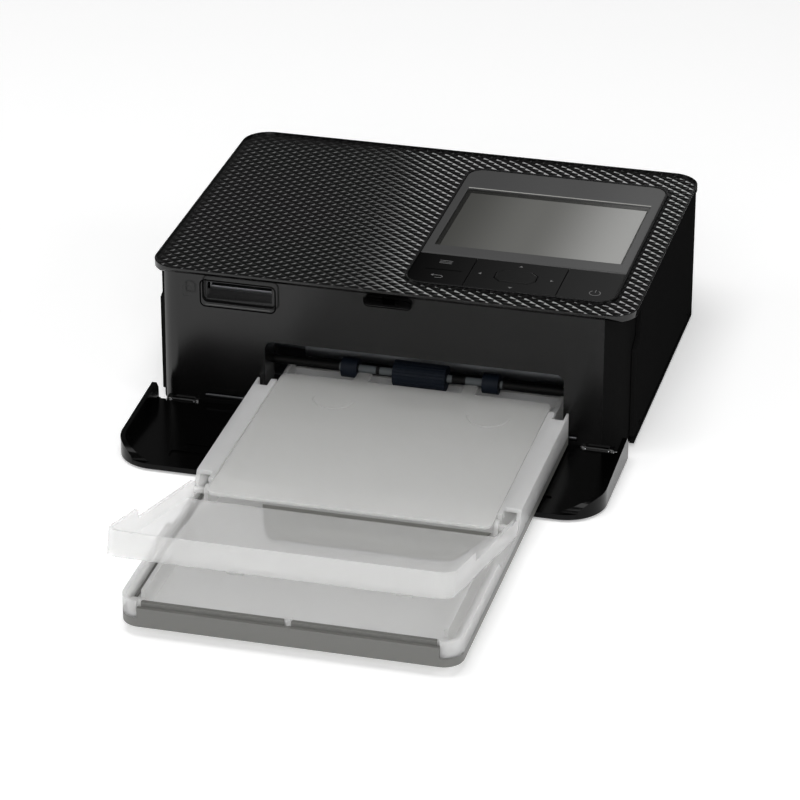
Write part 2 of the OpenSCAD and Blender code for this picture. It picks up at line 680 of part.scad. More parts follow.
module front_cover() color("#0e0e0f") {
  wing_top = cover_z0 + wing_h;
  wing_drop = 10;                           // length of the wings' rounded fall at the front
  wing_fall = 2.6;                          // how much lower the wings are before that fall
  difference() {
    union() {
      // dish: floor with wings that fall away round the front corners
      difference() {
        slab(-side_x, side_x, cover_front, cover_back + 30, cover_r, cover_z0, wing_top + 1);
        slab(-side_x + wall_t, side_x - wall_t, cover_front + wall_t, cover_back + 60,
            cover_r - wall_t, cover_z0 + cover_t, wing_top + 9);
        box(-side_x - 1, side_x + 1, cover_back, cover_back + 80, 0, wing_top + 9);
        profile_x(-side_x - 1, side_x + 1, [
          [cover_back + 9, wing_top + 0.6], [cover_front + wing_drop, wing_top - wing_fall],
          for (i = [0:6]) let (a = i * 15) [cover_front + wing_drop - (wing_drop - wall_t) * sin(a),
              cover_z0 + cover_t + (wing_h - cover_t - wing_fall) * cos(a)],
          [cover_front - 9, cover_z0 + cover_t], [cover_front - 9, wing_top + 9], [cover_back + 9,
              wing_top + 9]
        ]);
        for (s = [-1, 1]) profile_x(s * (side_x - 1) - 3, s * (side_x - 1) + 3, [
          [cover_back - 3, wing_top + 1], [cover_back + 0.6, wing_top - 4], [cover_back + 1, wing_top + 2]
        ]);
        // room for the hinge ears
        for (s = [-1, 1]) box(s * knuckle_x - knuckle_w / 2 - ear_w - 2 * fit,
            s * knuckle_x + knuckle_w / 2 + ear_w + 2 * fit,
          hinge_y - knuckle_r - fit, cover_back + 1, 0, cover_z0 + cover_t + 0.1);
      }
      for (s = [-1, 1]) {
        rod_x(s * knuckle_x - knuckle_w / 2, s * knuckle_x + knuckle_w / 2, hinge_y, hinge_z, knuckle_r);
        box(s * knuckle_x - knuckle_w / 2, s * knuckle_x + knuckle_w / 2, hinge_y - 3, hinge_y,
            cover_z0, cover_z0 + cover_t);
        // small rests under the front edge
        for (x = [knuckle_x - 27, knuckle_x - 15]) rod_z(0, cover_z0 + 0.5, s * x, cover_front + 5, 1.5);
      }
    }
    for (s = [-1, 1]) rod_x(s * knuckle_x - 9, s * knuckle_x + 9, hinge_y, hinge_z,
        cover_pin_r + run_gap);
    // shallow recesses in the inner face
    for (s = [-1, 1]) {
      x = s * (knuckle_x - 17);
      slab(x - 9, x + 9, cover_front + 8, cover_front + 13, 1, cover_z0 + cover_t - 0.5,
          cover_z0 + cover_t + 1);
      slab(x - 5, x + 5, cover_front + 18, cover_front + 18.9, 0.4, cover_z0 + cover_t - 0.4,
          cover_z0 + cover_t + 1);
    }
  }
}

module cover_pins() color("#9a9b9e") for (s = [-1, 1])
  rod_x(s * knuckle_x - cover_pin_l / 2, s * knuckle_x + cover_pin_l / 2, hinge_y, hinge_z, cover_pin_r);

// ---- display and keys ----

module panel_outline(inset, z0, z1)
  slab(panel_l + inset, panel_rt - inset, panel_y0 + inset, panel_y1 - inset, panel_r - inset, z0, z1);

module display_panel() color("#2b2b2d") difference() {
  intersection() {
    panel_outline(0, panel_top - panel_t, panel_top);
    box(panel_l - 1, panel_rt + 1, panel_split + key_gap / 2, panel_y1 + 1, 0, body_h);
  }
  slab(panel_x - screen_w / 2, panel_x + screen_w / 2, screen_y - screen_d / 2,
      screen_y + screen_d / 2, 0.6,
    panel_top - 2, panel_top + 1);
}

module lcd_screen() color("#5c5d5c") {
  slab(panel_x - screen_w / 2 + seat, panel_x + screen_w / 2 - seat, screen_y - screen_d / 2 + seat,
    screen_y + screen_d / 2 - seat, 0.6, panel_top - panel_t - 1, panel_top - 0.6);
  box(panel_x - screen_w / 2 - 1, panel_x + screen_w / 2 + 1, screen_y - screen_d / 2 - 2,
      screen_y + screen_d / 2 + 2,
    board_top, panel_top - panel_t);
}

module panel_board() color("#1d5a3a") difference() {
  union() {
    box(panel_l - 5.6, panel_rt + 5.6, panel_y0 + 3, panel_y1 - 3, board_top - 1.4, board_top);
    // saddles for the rocking keys
    for (s = [-1, 1]) {
      rod_z(board_top - 0.5, carrier_axle_z - 0.2, pad_x, key_y + s * 5, 1.2);
      rod_z(board_top - 0.5, pad_axle_z - 0.2, left_key_x + s * 6, key_y, 1.2);
    }
  }
  rod_y(key_y - 8, key_y + 8, pad_x, carrier_axle_z, axle_r + run_gap);
  rod_x(left_key_x - 8, left_key_x + 8, key_y, pad_axle_z, axle_r + run_gap);
  for (p = screw_at) rod_z(board_top - 3, board_top + 1, p[0], p[1], post_r + fit);
}

module key_domes() color("#c9cace") for (p = dome_at)
  rod_z(board_top, board_top + dome_h, p[0], p[1], dome_r);

module left_key() color("#1b1b1d") {
  intersection() {
    panel_outline(0, key_bottom, panel_top);
    box(panel_l - 1, panel_l + left_key_w, panel_y0 - 1, panel_split - key_gap / 2, 0, body_h);
  }
  for (s = [-1, 1]) rod_z(stem_bottom, key_bottom + 0.5, left_key_x, key_y + s * rock, 1.6);
  rod_x(left_key_x - 8, left_key_x + 8, key_y, pad_axle_z, axle_r);
}

module power_key() color("#1b1b1d") {
  intersection() {
    panel_outline(0, key_bottom, panel_top);
    box(panel_rt - power_key_w, panel_rt + 1, panel_y0 - 1, panel_split - key_gap / 2, 0, body_h);
  }
  rod_z(stem_bottom, key_bottom + 0.5, power_key_x, key_y, 1.6);
}

module ok_outline(grow) {
  c = 2.6;
  x = ok_w / 2 + grow;
  y = ok_d / 2 + grow;
  translate([pad_x, key_y]) polygon([
    [-x + c, -y], [x - c, -y], [x, -y + c], [x, y - c], [x - c, y], [-x + c, y], [-x, y - c], [-x, -y + c]
  ]);
}

module nav_pad() color("#1b1b1d") difference() {
  union() {
    box(pad_l, pad_r, panel_y0, panel_split - key_gap / 2, key_bottom, panel_top);
    for (s = [-1, 1]) rod_x(pad_x + s * 11.5 - 2.5, pad_x + s * 11.5 + 2.5, key_y, pad_axle_z, axle_r);
  }
  translate([0, 0, key_bottom - 2]) linear_extrude(6) ok_outline(key_gap);
}

// Thin plate under the four-way pad: it rocks sideways on the board's middle, the pad rocks on it
module nav_carrier() color("#3a3a3e") difference() {
  union() {
    box(pad_x - 14.6, pad_x + 14.6, key_y - 9.8, key_y + 9.8, carrier_z, carrier_z + 0.6);
    for (a = [0:90:270])
      rod_z(stem_bottom, carrier_z + 0.1, pad_x + pad_reach[0] * cos(a), key_y + pad_reach[1] * sin(a),
          1.2);
    for (s = [-1, 1]) rod_y(key_y + s * 5 - 1.6, key_y + s * 5 + 1.6, pad_x, carrier_axle_z, axle_r);
  }
  rod_z(carrier_z - 1, carrier_z + 2, pad_x, key_y, 2.6);
  rod_x(pad_x - 20, pad_x + 20, key_y, pad_axle_z, axle_r + run_gap);
}

module ok_key() color("#1b1b1d") {
  translate([0, 0, key_bottom]) linear_extrude(body_h - key_bottom) ok_outline(0);
  rod_z(stem_bottom, key_bottom + 0.5, pad_x, key_y, 1.6);
}

// ---- mechanism ----

module chassis() color("#a3a5a8") difference() {
  union() {
    for (x = [[plate_l, plate_l + plate_t], [plate_r - plate_t, plate_r]])
      profile_x(x[0], x[1], [
        [pickup_y - 5, floor_top], [head_pivot_y + 6, floor_top], [head_pivot_y + 6, head_pivot_z + 2.4],
        [head_pivot_y - 6, head_pivot_z + 2.4], [head_pivot_y - 9, plate_top], [supply_y - 18, plate_top],
        [capstan_y - 16, pickup_z + 9], [pickup_y - 5, pickup_z + 6]
      ]);
    box(plate_l, plate_r, neck_back + 3, head_pivot_y + 6, floor_top, floor_top + 0.8);
    box(plate_l, plate_r, head_pivot_y + 4.8, head_pivot_y + 6, floor_top, path_z - 4);
  }
  rod_x(plate_l - 1, plate_r + 1, pickup_y, pickup_z, shaft_r + run_gap);
  rod_x(plate_l - 1, plate_r + 1, capstan_y, capstan_z, shaft_r + run_gap);
  rod_x(plate_l - 1, plate_r + 1, capstan_y, pinch_z, shaft_r + run_gap);
  rod_x(plate_l - 1, plate_r + 1, platen_y, platen_z, shaft_r + run_gap);
  rod_x(plate_l - 1, plate_l + 5, takeup_y, spool_z, shaft_r + run_gap);
  rod_x(plate_l - 1, plate_r + 1, head_pivot_y, head_pivot_z, shaft_r + seat);
  for (p = [rear_at, front_at]) rod_x(plate_l - 1, plate_l + 5, p[0], p[1], shaft_r + run_gap);
  for (p = standoffs) rod_x(plate_l - 1, plate_l + 5, p[0], p[1], 1 + seat);
  box(plate_r - 3, plate_r + 1, ink_y0 - 1.5, ink_y1 + 1.5, ink_z0 - 1.5, ink_z1 + 0.5);
}

module pickup_roller() color("#1d2531") {
  rod_x(gear_x - gear_w - 0.6, plate_r + 0.8, pickup_y, pickup_z, shaft_r);
  difference() {
    rod_x(path_x - 10.7, path_x + 9.3, pickup_y, pickup_z, pickup_r);
    for (a = [0:15:345]) rod_x(path_x - 11, path_x + 10, pickup_y + pickup_r * cos(a),
        pickup_z + pickup_r * sin(a), 0.28);
  }
  for (s = [-1, 1]) rod_x(path_x - 0.7 + s * pickup_pitch - 3, path_x - 0.7 + s * pickup_pitch + 3,
      pickup_y, pickup_z, pickup_small_r);
}

module pickup_gear() color("#d9d8d2")
  gear(pickup_n, shaft_r + seat, pickup_at, pickup_turn, gear_x - gear_w, gear_x);

module capstan_roller() color("#8b8d90") {
  rod_x(gear_x - gear_w - 0.6, plate_r + 0.8, capstan_y, capstan_z, shaft_r);
  rod_x(path_x - lane_half, path_x + lane_half, capstan_y, capstan_z, capstan_r);
}

module capstan_gear() color("#d9d8d2")
  gear(capstan_n, shaft_r + seat, capstan_at, capstan_turn, gear_x - gear_w, gear_x);

module pinch_roller() color("#2a2a2c") {
  rod_x(plate_l - 0.4, plate_r + 0.8, capstan_y, pinch_z, shaft_r);
  rod_x(path_x - lane_half, path_x + lane_half, capstan_y, pinch_z, pinch_r);
}

module platen_roller() color("#2a2a2c") {
  rod_x(plate_l - 0.8, plate_r + 0.8, platen_y, platen_z, shaft_r);
  rod_x(path_x - lane_half, path_x + lane_half, platen_y, platen_z, platen_r);
}

module idler(at, turn) {
  gear(idler_n, shaft_r - seat, at, turn, gear_x - gear_w, gear_x);
  rod_x(gear_x - gear_w - 0.6, plate_l + plate_t + 0.8, at[0], at[1], shaft_r);
}
module front_idler() color("#d9d8d2") idler(front_at, front_turn);
module rear_idler() color("#d9d8d2") idler(rear_at, rear_turn);

module motor_bracket() color("#a3a5a8") difference() {
  union() {
    profile_x(bracket_x - plate_t, bracket_x, [
      [capstan_y - 5, floor_top + 3], [takeup_y + 24, floor_top + 3], [takeup_y + 24, 34],
          [capstan_y - 5, 34]
    ]);
    for (p = standoffs) {
      rod_x(bracket_x - 0.3, plate_l, p[0], p[1], 1.7);
      rod_x(plate_l - 1, plate_l + plate_t + 0.4, p[0], p[1], 1);
    }
  }
  for (p = [feed_at, ribbon_at]) rod_x(bracket_x - 5, bracket_x + 2, p[0], p[1], 2.6);
}

// Round motor with flats, its shaft hole open to the right
module motor(at) difference() {
  union() {
    intersection() {
      rod_x(motor_back, bracket_x - plate_t, at[0], at[1], motor_r);
      box(motor_back, 0, at[0] - motor_r, at[0] + motor_r, at[1] - motor_r + 1.2, at[1] + motor_r - 1.2);
    }
    rod_x(bracket_x - plate_t, bracket_x, at[0], at[1], 2.5);
  }
  rod_x(motor_back + 4, 0, at[0], at[1], motor_shaft_r + run_gap);
}
module feed_motor() color("#b4b6b9") motor(feed_at);
module ribbon_motor() color("#b4b6b9") motor(ribbon_at);

module pinion(at, turn) {
  gear(pinion_n, motor_shaft_r - seat, at, turn, gear_x - gear_w, gear_x);
  rod_x(motor_back + 4.5, gear_x, at[0], at[1], motor_shaft_r);
}
module feed_pinion() color("#c9a24a") pinion(feed_at, feed_turn);
module ribbon_pinion() color("#c9a24a") pinion(ribbon_at, ribbon_turn);

module print_head() color("#9fa2a5") difference() {
  union() {
    // carrier plate and its pivot eyes
    box(path_x - lane_half, path_x + lane_half, head_y0, head_pivot_y, head_top - 0.5, head_top + 1);
    for (s = [-1, 1]) rod_x(path_x + s * (lane_half - 3) - 2.5, path_x + s * (lane_half - 3) + 2.5,
        head_pivot_y, head_pivot_z, 2.4);
    // heat sink with fins, and the bead that presses on the ribbon
    box(path_x - lane_half, path_x + lane_half, head_y0, head_y1, path_z + 1.5, head_top);
    rod_x(path_x - lane_half, path_x + lane_half, platen_y, path_z + 1.9, 1.4);
  }
  for (i = [0:11]) box(path_x - lane_half + 3 + i * 8.5, path_x - lane_half + 7 + i * 8.5, head_y0 - 1,
      head_y0 + 3.4, path_z + 7, head_top - 3);
  rod_x(path_x - lane_half - 1, path_x + lane_half + 1, head_pivot_y, head_pivot_z, shaft_r + run_gap);
}

module head_pins() color("#8b8d90") rod_x(plate_l - 0.8, plate_r + 0.8, head_pivot_y, head_pivot_z,
    shaft_r);

module ink_cassette() color("#2e2f33") difference() {
  union() {
    // left and right end plates, the grip and the two rails
    box(ink_l, ink_l + 2, ink_y0, ink_y1, spool_z - 7, spool_z + 7);
    box(path_x + lane_half + 3, path_x + lane_half + 5, ink_y0, ink_y1, spool_z - 10, spool_z + 12);
    for (y = [supply_y, takeup_y]) rod_x(path_x + lane_half + 3, ink_r, y, spool_z, 12.4);
    box(path_x + lane_half + 4, ink_r, supply_y, takeup_y, spool_z + 4, spool_z + 12);
    box(ink_l, path_x + lane_half + 4, ink_y0, ink_y0 + 2, spool_z - 6, spool_z + 6);
    box(ink_l, path_x + lane_half + 4, ink_y1 - 2, ink_y1, spool_z - 6, spool_z + 6);
  }
  for (y = [supply_y, takeup_y]) {
    rod_x(ink_l - 1, ink_l + 3, y, spool_z, journal_r + run_gap);
    rod_x(path_x + lane_half, path_x + lane_half + 7, y, spool_z, journal_r + run_gap);
    rod_x(path_x + lane_half + 9, ink_r + 1, y, spool_z, 10.6);
  }
}

module spool(y, roll) {
  rod_x(ink_l + 0.3, path_x + lane_half + 6.6, y, spool_z, journal_r);
  rod_x(ink_l + 2.3, path_x + lane_half + 2.7, y, spool_z, spool_r);
  rod_x(path_x - lane_half + 1, path_x + lane_half - 1, y, spool_z, roll);
  for (x = [path_x - lane_half - 0.6, path_x + lane_half - 0.6]) rod_x(x, x + 1.2, y, spool_z,
      max(roll, 7));
}
module supply_spool() color("#3c3c44") spool(supply_y, supply_roll_r);
module takeup_spool() color("#3c3c44") spool(takeup_y, takeup_roll_r);

module takeup_gear() color("#d9d8d2") {
  gear(takeup_n, shaft_r - seat, takeup_at, takeup_turn, gear_x - gear_w, gear_x);
  rod_x(gear_x - gear_w - 0.6, ink_l + 0.2, takeup_y, spool_z, shaft_r);
}

// The stretch of ribbon between the rolls, under the head's bead
module ink_ribbon() color("#5a2c4c") {
  t = 0.2;
  z = path_z + 0.1;
  profile_x(path_x - lane_half + 2, path_x + lane_half - 2, [
    [supply_y, spool_z - supply_roll_r - 0.35 - t], [platen_y - 3, z], [platen_y + 3, z],
    [takeup_y, spool_z - takeup_roll_r - 0.35 - t], [takeup_y, spool_z - takeup_roll_r - 0.35],
    [platen_y + 3, z + t], [platen_y - 3, z + t], [supply_y, spool_z - supply_roll_r - 0.35]
  ]);
}

module main_board() color("#1d5a3a") difference() {
  box(board_l, board_r, board_posts[0][1] - 3, in_y - 1.5, board_z0, board_z0 + board_t);
  for (p = screw_at) rod_z(board_z0 - 1, board_z0 + 5, p[0], p[1], post_r + fit);
}

module dc_jack() color("#202023") difference() {
  box(dc_x - 4, dc_x + 4, in_y - 12, in_y - 0.3, 8, 15.6);
  difference() {
    rod_y(in_y - 9, in_y, dc_x, 12, 2.8);
    rod_y(in_y - 10, in_y, dc_x, 12, 0.8);
  }
}

module usb_port() color("#9b9da0") difference() {
  box(dc_x - 4.4, dc_x + 4.4, in_y - 8, in_y - 0.2, board_z0 + board_t, board_z0 + board_t + 3.2);
  upright(dc_x - 4, dc_x + 4, board_z0 + board_t + 0.4, board_z0 + board_t + 2.8, 1.1, in_y - 7, in_y);
}

// ---- paper cassette ----

// Plan of the cassette: wide in front of the mouth, with a narrow neck inside it
module tray_plan(inset) {
  rrect(tray_l + inset, tray_r - inset, tray_front + inset, tray_back - inset - 20, tray_corner - inset);
  translate([tray_l + inset, tray_back - 60]) square([tray_w - 2 * inset, 60 - inset]);
}

// Grey frame round the lower edge, with the strip across the front
module cassette_base() color("#84857f") {
  difference() {
    translate([0, 0, tray_z]) linear_extrude(base_rim) tray_plan(0);
    translate([0, 0, tray_z - 1]) linear_extrude(base_rim + 2) tray_plan(rim_w0);
    box(path_x - neck_half - 0.1, path_x + neck_half + 0.1, tray_back - 4, tray_back + 1,
        tray_z - 1, rim_top + 1);
  }
  box(path_x - strip_half, path_x + strip_half, tray_front, tray_front + strip_t, tray_z,
      tray_z + strip_h);
  // second step behind the strip, in two halves
  for (s = [-1, 1]) box(path_x + s * (strip_half / 2) - strip_half / 2 + 1.2,
      path_x + s * (strip_half / 2) + strip_half / 2 - 1.2, tray_front + strip_t - 0.1,
      tray_front + rim_w0 + seat + tray_wall, step_z + seat, step_z + 3.6);
}

// Outline of the grey plate let into the cassette's floor, wider at its rear
module plate_outline(grow) {
  r = 4;
  translate([path_x + plate_shift, pivot_y - 2.6]) {
    w0 = plate_front_w / 2 + grow;
    w1 = plate_rear_w / 2 + grow;
    d = plate_d / 2 + grow;
    polygon([
      [-w1, d], [-w0 - 0.4, -d + r], for (a = [0:18:90]) [-w0 + r - r * cos(a), -d + r - r * sin(a)],
      for (a = [90:-18:0]) [w0 - r + r * cos(a), -d + r - r * sin(a)], [w0 + 0.4, -d + r], [w1, d]
    ]);
  }
}

module floor_plate() color("#7c7d79")
  translate([0, 0, lane_z - plate_sink]) linear_extrude(plate_sink + 0.2) plate_outline(0);

module cassette_body() color("#cfd0ce", 0.6) {
  outer_in = tray_w / 2 - tray_wall;
  slope = tan(lid_tilt);
  pin_hole = pivot_r + run_gap;
  difference() {
    union() {
      // floor inside the base's frame, and its neck
      translate([0, 0, tray_z]) linear_extrude(tray_floor) tray_plan(rim_w0 + seat);
      box(path_x - neck_half, path_x + neck_half, tray_back - 3, neck_back, tray_z, lane_z);
      // stops in front of the paper
      for (s = [-1, 1]) box(path_x + s * 30 - 3, path_x + s * 30 + 3, paper_y0 - 1.6, paper_y0 - 0.8,
          lane_z - 0.5, lane_z + 1);
      // outer walls on the base's rim
      translate([0, 0, rim_top]) linear_extrude(rear_top - rim_top) difference() {
        tray_plan(0);
        tray_plan(tray_wall);
      }
      // walls of the paper's lane
      for (s = [-1, 1]) {
        x = path_x + s * (lane_half + tray_wall / 2);
        box(x - tray_wall / 2, x + tray_wall / 2, tray_front + 8, neck_back, lane_z, rear_top);
        // flat top of the hollow sides
        c = path_x + s * (neck_half + outer_in) / 2;
        w = outer_in - neck_half + tray_wall;
        box(c - w / 2, c + w / 2, tray_front + 6, tray_back, rear_top - lid_t, rear_top);
        // shoulders
        box(c - w / 2, c + w / 2, tray_back - tray_wall, tray_back, rim_top, rear_top);
      }
      box(path_x - neck_half, path_x + neck_half, neck_back - tray_wall, neck_back, lane_z, 9.8);
      // inner front wall
      box(path_x - lane_half - 3, path_x + lane_half + 3, tray_front + rim_w0 + seat,
          tray_front + rim_w0 + seat + tray_wall, lane_z - 0.5, front_top);
    }
    // window under the pickup roller, and the grey plate's seat
    slab(path_x - 16, path_x + 16, neck_back - 14, neck_back - 3, 1.5, tray_z - 1, lane_z + 1);
    translate([0, 0, lane_z - plate_sink]) linear_extrude(2) plate_outline(seat);
    // the lane runs on through the shoulders
    box(path_x - lane_half, path_x + lane_half, tray_back - 4, tray_back + 1, lane_z - 1, rear_top + 1);
    // seats of the strip and of the step behind it
    for (s = [-1, 1]) box(path_x + s * (strip_half / 2) - strip_half / 2 + 1.2 - seat,
        path_x + s * (strip_half / 2) + strip_half / 2 - 1.2 + seat, tray_front, tray_front + rim_w0
        + 2 * seat + tray_wall, step_z, rear_top + 1);
    box(path_x - strip_half - 0.1, path_x + strip_half + 0.1, tray_front - 1,
        tray_front + strip_t + 0.1, tray_z - 1, rear_top + 1);
    // everything under the raised lid is cut down to clear it
    profile_x(tray_l - 1, tray_r + 1, [
      [inner_front - 0.2, front_half_top], [inner_front - 0.2, rear_top + 9], [tray_front - 9,
          rear_top + 9],
      [tray_front - 9, front_top], [pivot_y - 26, front_top], [pivot_y - 22, front_half_top]
    ]);
    for (s = [-1, 1]) profile_x(path_x + s * (neck_half + 5) - 4.9, path_x + s * (neck_half + 5) + 4.9, [
      [inner_front - 1, front_half_top], [inner_front - 0.1, front_half_top],
      [inner_front + 6, rear_top + 1], [inner_front - 1, rear_top + 9]
    ]);
    // low neck, so that the roller's shaft passes over it
    box(path_x - neck_half - 1, path_x + neck_half + 1, tray_back + 0.1, neck_back + 1, pickup_z - 4,
        rear_top + 9);
    // V notches beside the rear tips
    for (s = [-1, 1]) profile_x(path_x + s * (neck_half + 2.9) - 2.2,
        path_x + s * (neck_half + 2.9) + 2.2, [
      [tray_back + 1, rear_top - 5.5], [tray_back + 1, rear_top + 1], [tray_back - 7, rear_top + 1]
    ]);
    for (s = [-1, 1]) box(path_x + s * (neck_half + 2.9) - 2.2, path_x + s * (neck_half + 2.9) + 2.2,
        tray_back - 3, tray_back + 1, rear_top - 5.5, rear_top + 1);
    rod_x(path_x - neck_half - 1, path_x + neck_half + 1, inner_hinge_y, inner_hinge_z,
        inner_pin_r + run_gap);
  }
  // ears that carry the lid's pivots
  for (s = [-1, 1]) difference() {
    x = path_x + s * (lane_half + tray_wall / 2);
    union() {
      rod_x(x - tray_wall / 2, x + tray_wall / 2, pivot_y, pivot_z, 2.6);
      box(x - tray_wall / 2, x + tray_wall / 2, pivot_y - 2.6, pivot_y + 4, front_half_top - 1, pivot_z);
    }
    rod_x(x - 5, x + 5, pivot_y, pivot_z, pin_hole);
  }
}

module inner_lid() color("#c9cac7", 0.6) {
  half = lane_half - fit;
  back = face_y + 5.4;
  difference() {
    union() {
      slab(path_x - half, path_x + half, inner_front - inner_reach, back, 3,
          rear_top - lid_t - 0.3, rear_top - 0.3);
      for (x = [path_x - 21.4, path_x + 19.2]) slab(x - 2.75, x + 2.75, back - 4, back + 7.2, 1.3,
          rear_top - lid_t - 0.3, rear_top - 0.3);
      for (s = [-1, 1]) rod_x(path_x + s * (half - 3) - 3, path_x + s * (half - 3) + 3, inner_hinge_y,
          inner_hinge_z, 1.4);
      rod_x(path_x - half - fit - 1, path_x + half + fit + 1, inner_hinge_y, inner_hinge_z, inner_pin_r);
    }
    // two half-round finger marks
    for (x = [path_x - 26.8, path_x + 31.2]) difference() {
      rod_z(rear_top - 0.6, rear_top, x, back - 16.5, 8);
      rod_z(rear_top - 1, rear_top + 1, x, back - 16.5, 7.5);
      box(x - 9, x + 9, back - 16.5, back - 5, rear_top - 1, rear_top + 1);
    }
  }
}

module outer_lid() color("#d4d5d3", 0.6) {
  half = tray_w / 2;
  translate([path_x, pivot_y, pivot_z]) rotate([-lid_tilt, 0, 0]) {
    difference() {
      union() {
        // floor
        slab(-half, half, -lid_reach, -lid_start, 2, -lid_low, -lid_low + lid_t);
        box(-half, half, -lid_reach + 8, -lid_start - 3, -lid_low, -lid_low + lid_t);
        // front rim, high corner tabs and low sides
        difference() {
          slab(-half, half, -lid_reach, 40, 6, -lid_low, -lid_low + lid_rim);
          slab(-half + tray_wall, half - tray_wall, -lid_reach + tray_wall, 60, 6 - tray_wall,
              -lid_low + 0.5, lid_rim);
          box(-half - 1, half + 1, 0, 80, -20, 20);
          profile_x(-half - 1, half + 1, [
            [-lid_reach + lid_tab, lid_side_h], [-lid_reach + lid_tab - 1.4, lid_rim],
            [9, lid_rim], [9, 3], [0, 3]
          ]);
        }
        for (s = [-1, 1]) {
          x = s * (half - tray_wall / 2);
          rod_x(x - tray_wall / 2, x + tray_wall / 2, 0, 0, 3);
          rod_x(s * (half - tray_wall / 2 - lid_pin_l / 2) - lid_pin_l / 2,
              s * (half - tray_wall / 2 - lid_pin_l / 2) + lid_pin_l / 2, 0, 0, pivot_r);
        }
        // low ribs inside the rim
        for (x = [-41, 34, 41]) box(x - 0.4, x + 0.4, -lid_reach + tray_wall - 0.3,
            -lid_reach + tray_wall + 0.6, -lid_low, -lid_low + lid_rim - 1.4);
      }
      // round off the floor's front corners and lift it off the pivots
      difference() {
        box(-half - 1, half + 1, -lid_reach - 1, -lid_reach + 6, -lid_low - 1, lid_rim);
        slab(-half, half, -lid_reach, 40, 6, -lid_low - 2, lid_rim + 2);
      }
      box(-half + tray_wall, half - tray_wall, -lid_start, 20, -lid_low - 1, -pivot_r - 0.2);
    }
  }
}

base_case();
feet();
case_screws();
front_bezel();
top_cover();
left_panel();
right_frame();
rear_panel();
ink_door();
door_pins();
front_cover();
cover_pins();
front_rods();
latch_keeper();
card_reader();
display_panel();
lcd_screen();
panel_board();
key_domes();
left_key();
nav_carrier();
nav_pad();
ok_key();
power_key();
chassis();
pickup_roller();
pickup_gear();
capstan_roller();
capstan_gear();
pinch_roller();
platen_roller();
front_idler();
rear_idler();
motor_bracket();
feed_motor();
feed_pinion();
ribbon_motor();
ribbon_pinion();
print_head();
head_pins();
ink_cassette();
supply_spool();
takeup_spool();
takeup_gear();
ink_ribbon();
main_board();
dc_jack();
usb_port();
cassette_base();
cassette_body();
inner_lid();
outer_lid();
floor_plate();
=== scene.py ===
import json
import math
import bmesh
import bpy
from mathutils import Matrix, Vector


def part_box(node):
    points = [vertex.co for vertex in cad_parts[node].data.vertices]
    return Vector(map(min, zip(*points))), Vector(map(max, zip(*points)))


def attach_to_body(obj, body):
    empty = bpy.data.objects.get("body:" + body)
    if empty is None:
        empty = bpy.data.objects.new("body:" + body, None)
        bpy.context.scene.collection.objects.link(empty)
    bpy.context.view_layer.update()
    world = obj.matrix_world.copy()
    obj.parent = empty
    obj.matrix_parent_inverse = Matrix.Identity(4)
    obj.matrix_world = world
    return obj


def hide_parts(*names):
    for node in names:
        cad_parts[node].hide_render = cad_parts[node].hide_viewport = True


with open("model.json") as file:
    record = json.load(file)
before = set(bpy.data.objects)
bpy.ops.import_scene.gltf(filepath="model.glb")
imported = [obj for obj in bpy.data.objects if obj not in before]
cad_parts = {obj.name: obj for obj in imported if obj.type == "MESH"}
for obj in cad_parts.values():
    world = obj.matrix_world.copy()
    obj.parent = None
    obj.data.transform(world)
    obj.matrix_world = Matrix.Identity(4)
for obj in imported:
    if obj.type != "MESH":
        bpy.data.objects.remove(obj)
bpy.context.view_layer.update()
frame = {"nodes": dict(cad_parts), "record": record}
mm = 0.001
print("frame loaded:", len(frame["nodes"]), "pieces")


def linearColour(hexText):
    values = [int(hexText[i:i + 2], 16) / 255 for i in (1, 3, 5)]
    return tuple(v / 12.92 if v <= 0.04045 else ((v + 0.055) / 1.055) ** 2.4 for v in values) + (1.0,)


def addNode(tree, kind, settings=None, links=None):
    # one node, its settings (attributes or input values) and what feeds its inputs
    node = tree.nodes.new(kind)
    for name, value in (settings or {}).items():
        if isinstance(name, str) and hasattr(node, name):
            setattr(node, name, value)
        else:
            node.inputs[name].default_value = value
    for name, source in (links or {}).items():
        tree.links.new(source, node.inputs[name])
    return node


def newMaterial(name, colour, settings):
    material = bpy.data.materials.new(name)
    material.use_nodes = True
    tree = material.node_tree
    tree.nodes.clear()
    shader = addNode(tree, "ShaderNodeBsdfPrincipled", settings)
    shader.inputs["Base Color"].default_value = linearColour(colour)
    addNode(tree, "ShaderNodeOutputMaterial", links={"Surface": shader.outputs["BSDF"]})
    return material, tree, shader


def plainMaterial(name, colour, roughness, metallic=0.0):
    return newMaterial(name, colour, {"Roughness": roughness, "Metallic": metallic})[0]


def objectPoint(tree):
    return addNode(tree, "ShaderNodeTexCoord").outputs["Object"]


def colourRamp(tree, share, stops, blend):
    # a colour for each share from 0 to 1; the first and last stops come with the node
    node = addNode(tree, "ShaderNodeValToRGB", links={"Fac": share})
    ramp = node.color_ramp
    ramp.interpolation = blend
    ramp.elements[0].color = linearColour(stops[0][1])
    ramp.elements[1].color = linearColour(stops[-1][1])
    for position, colour in stops[1:-1]:
        ramp.elements.new(position).color = linearColour(colour)
    return node.outputs["Color"]


def tintAlong(tree, shader, axis, start, end, stops, blend="LINEAR"):
    # the base colour changes along one axis of the piece, from start to end in metres
    place = addNode(tree, "ShaderNodeSeparateXYZ", links={0: objectPoint(tree)})
    span = {"From Min": start, "From Max": end}
    share = addNode(tree, "ShaderNodeMapRange", span, {"Value": place.outputs[axis]})
    tree.links.new(colourRamp(tree, share.outputs["Result"], stops, blend), shader.inputs["Base Color"])


def bodyOf(nodeName):
    bodies = frame["record"]["behaviour"]["bodies"]
    return next(body for body, members in bodies.items() if nodeName in members)


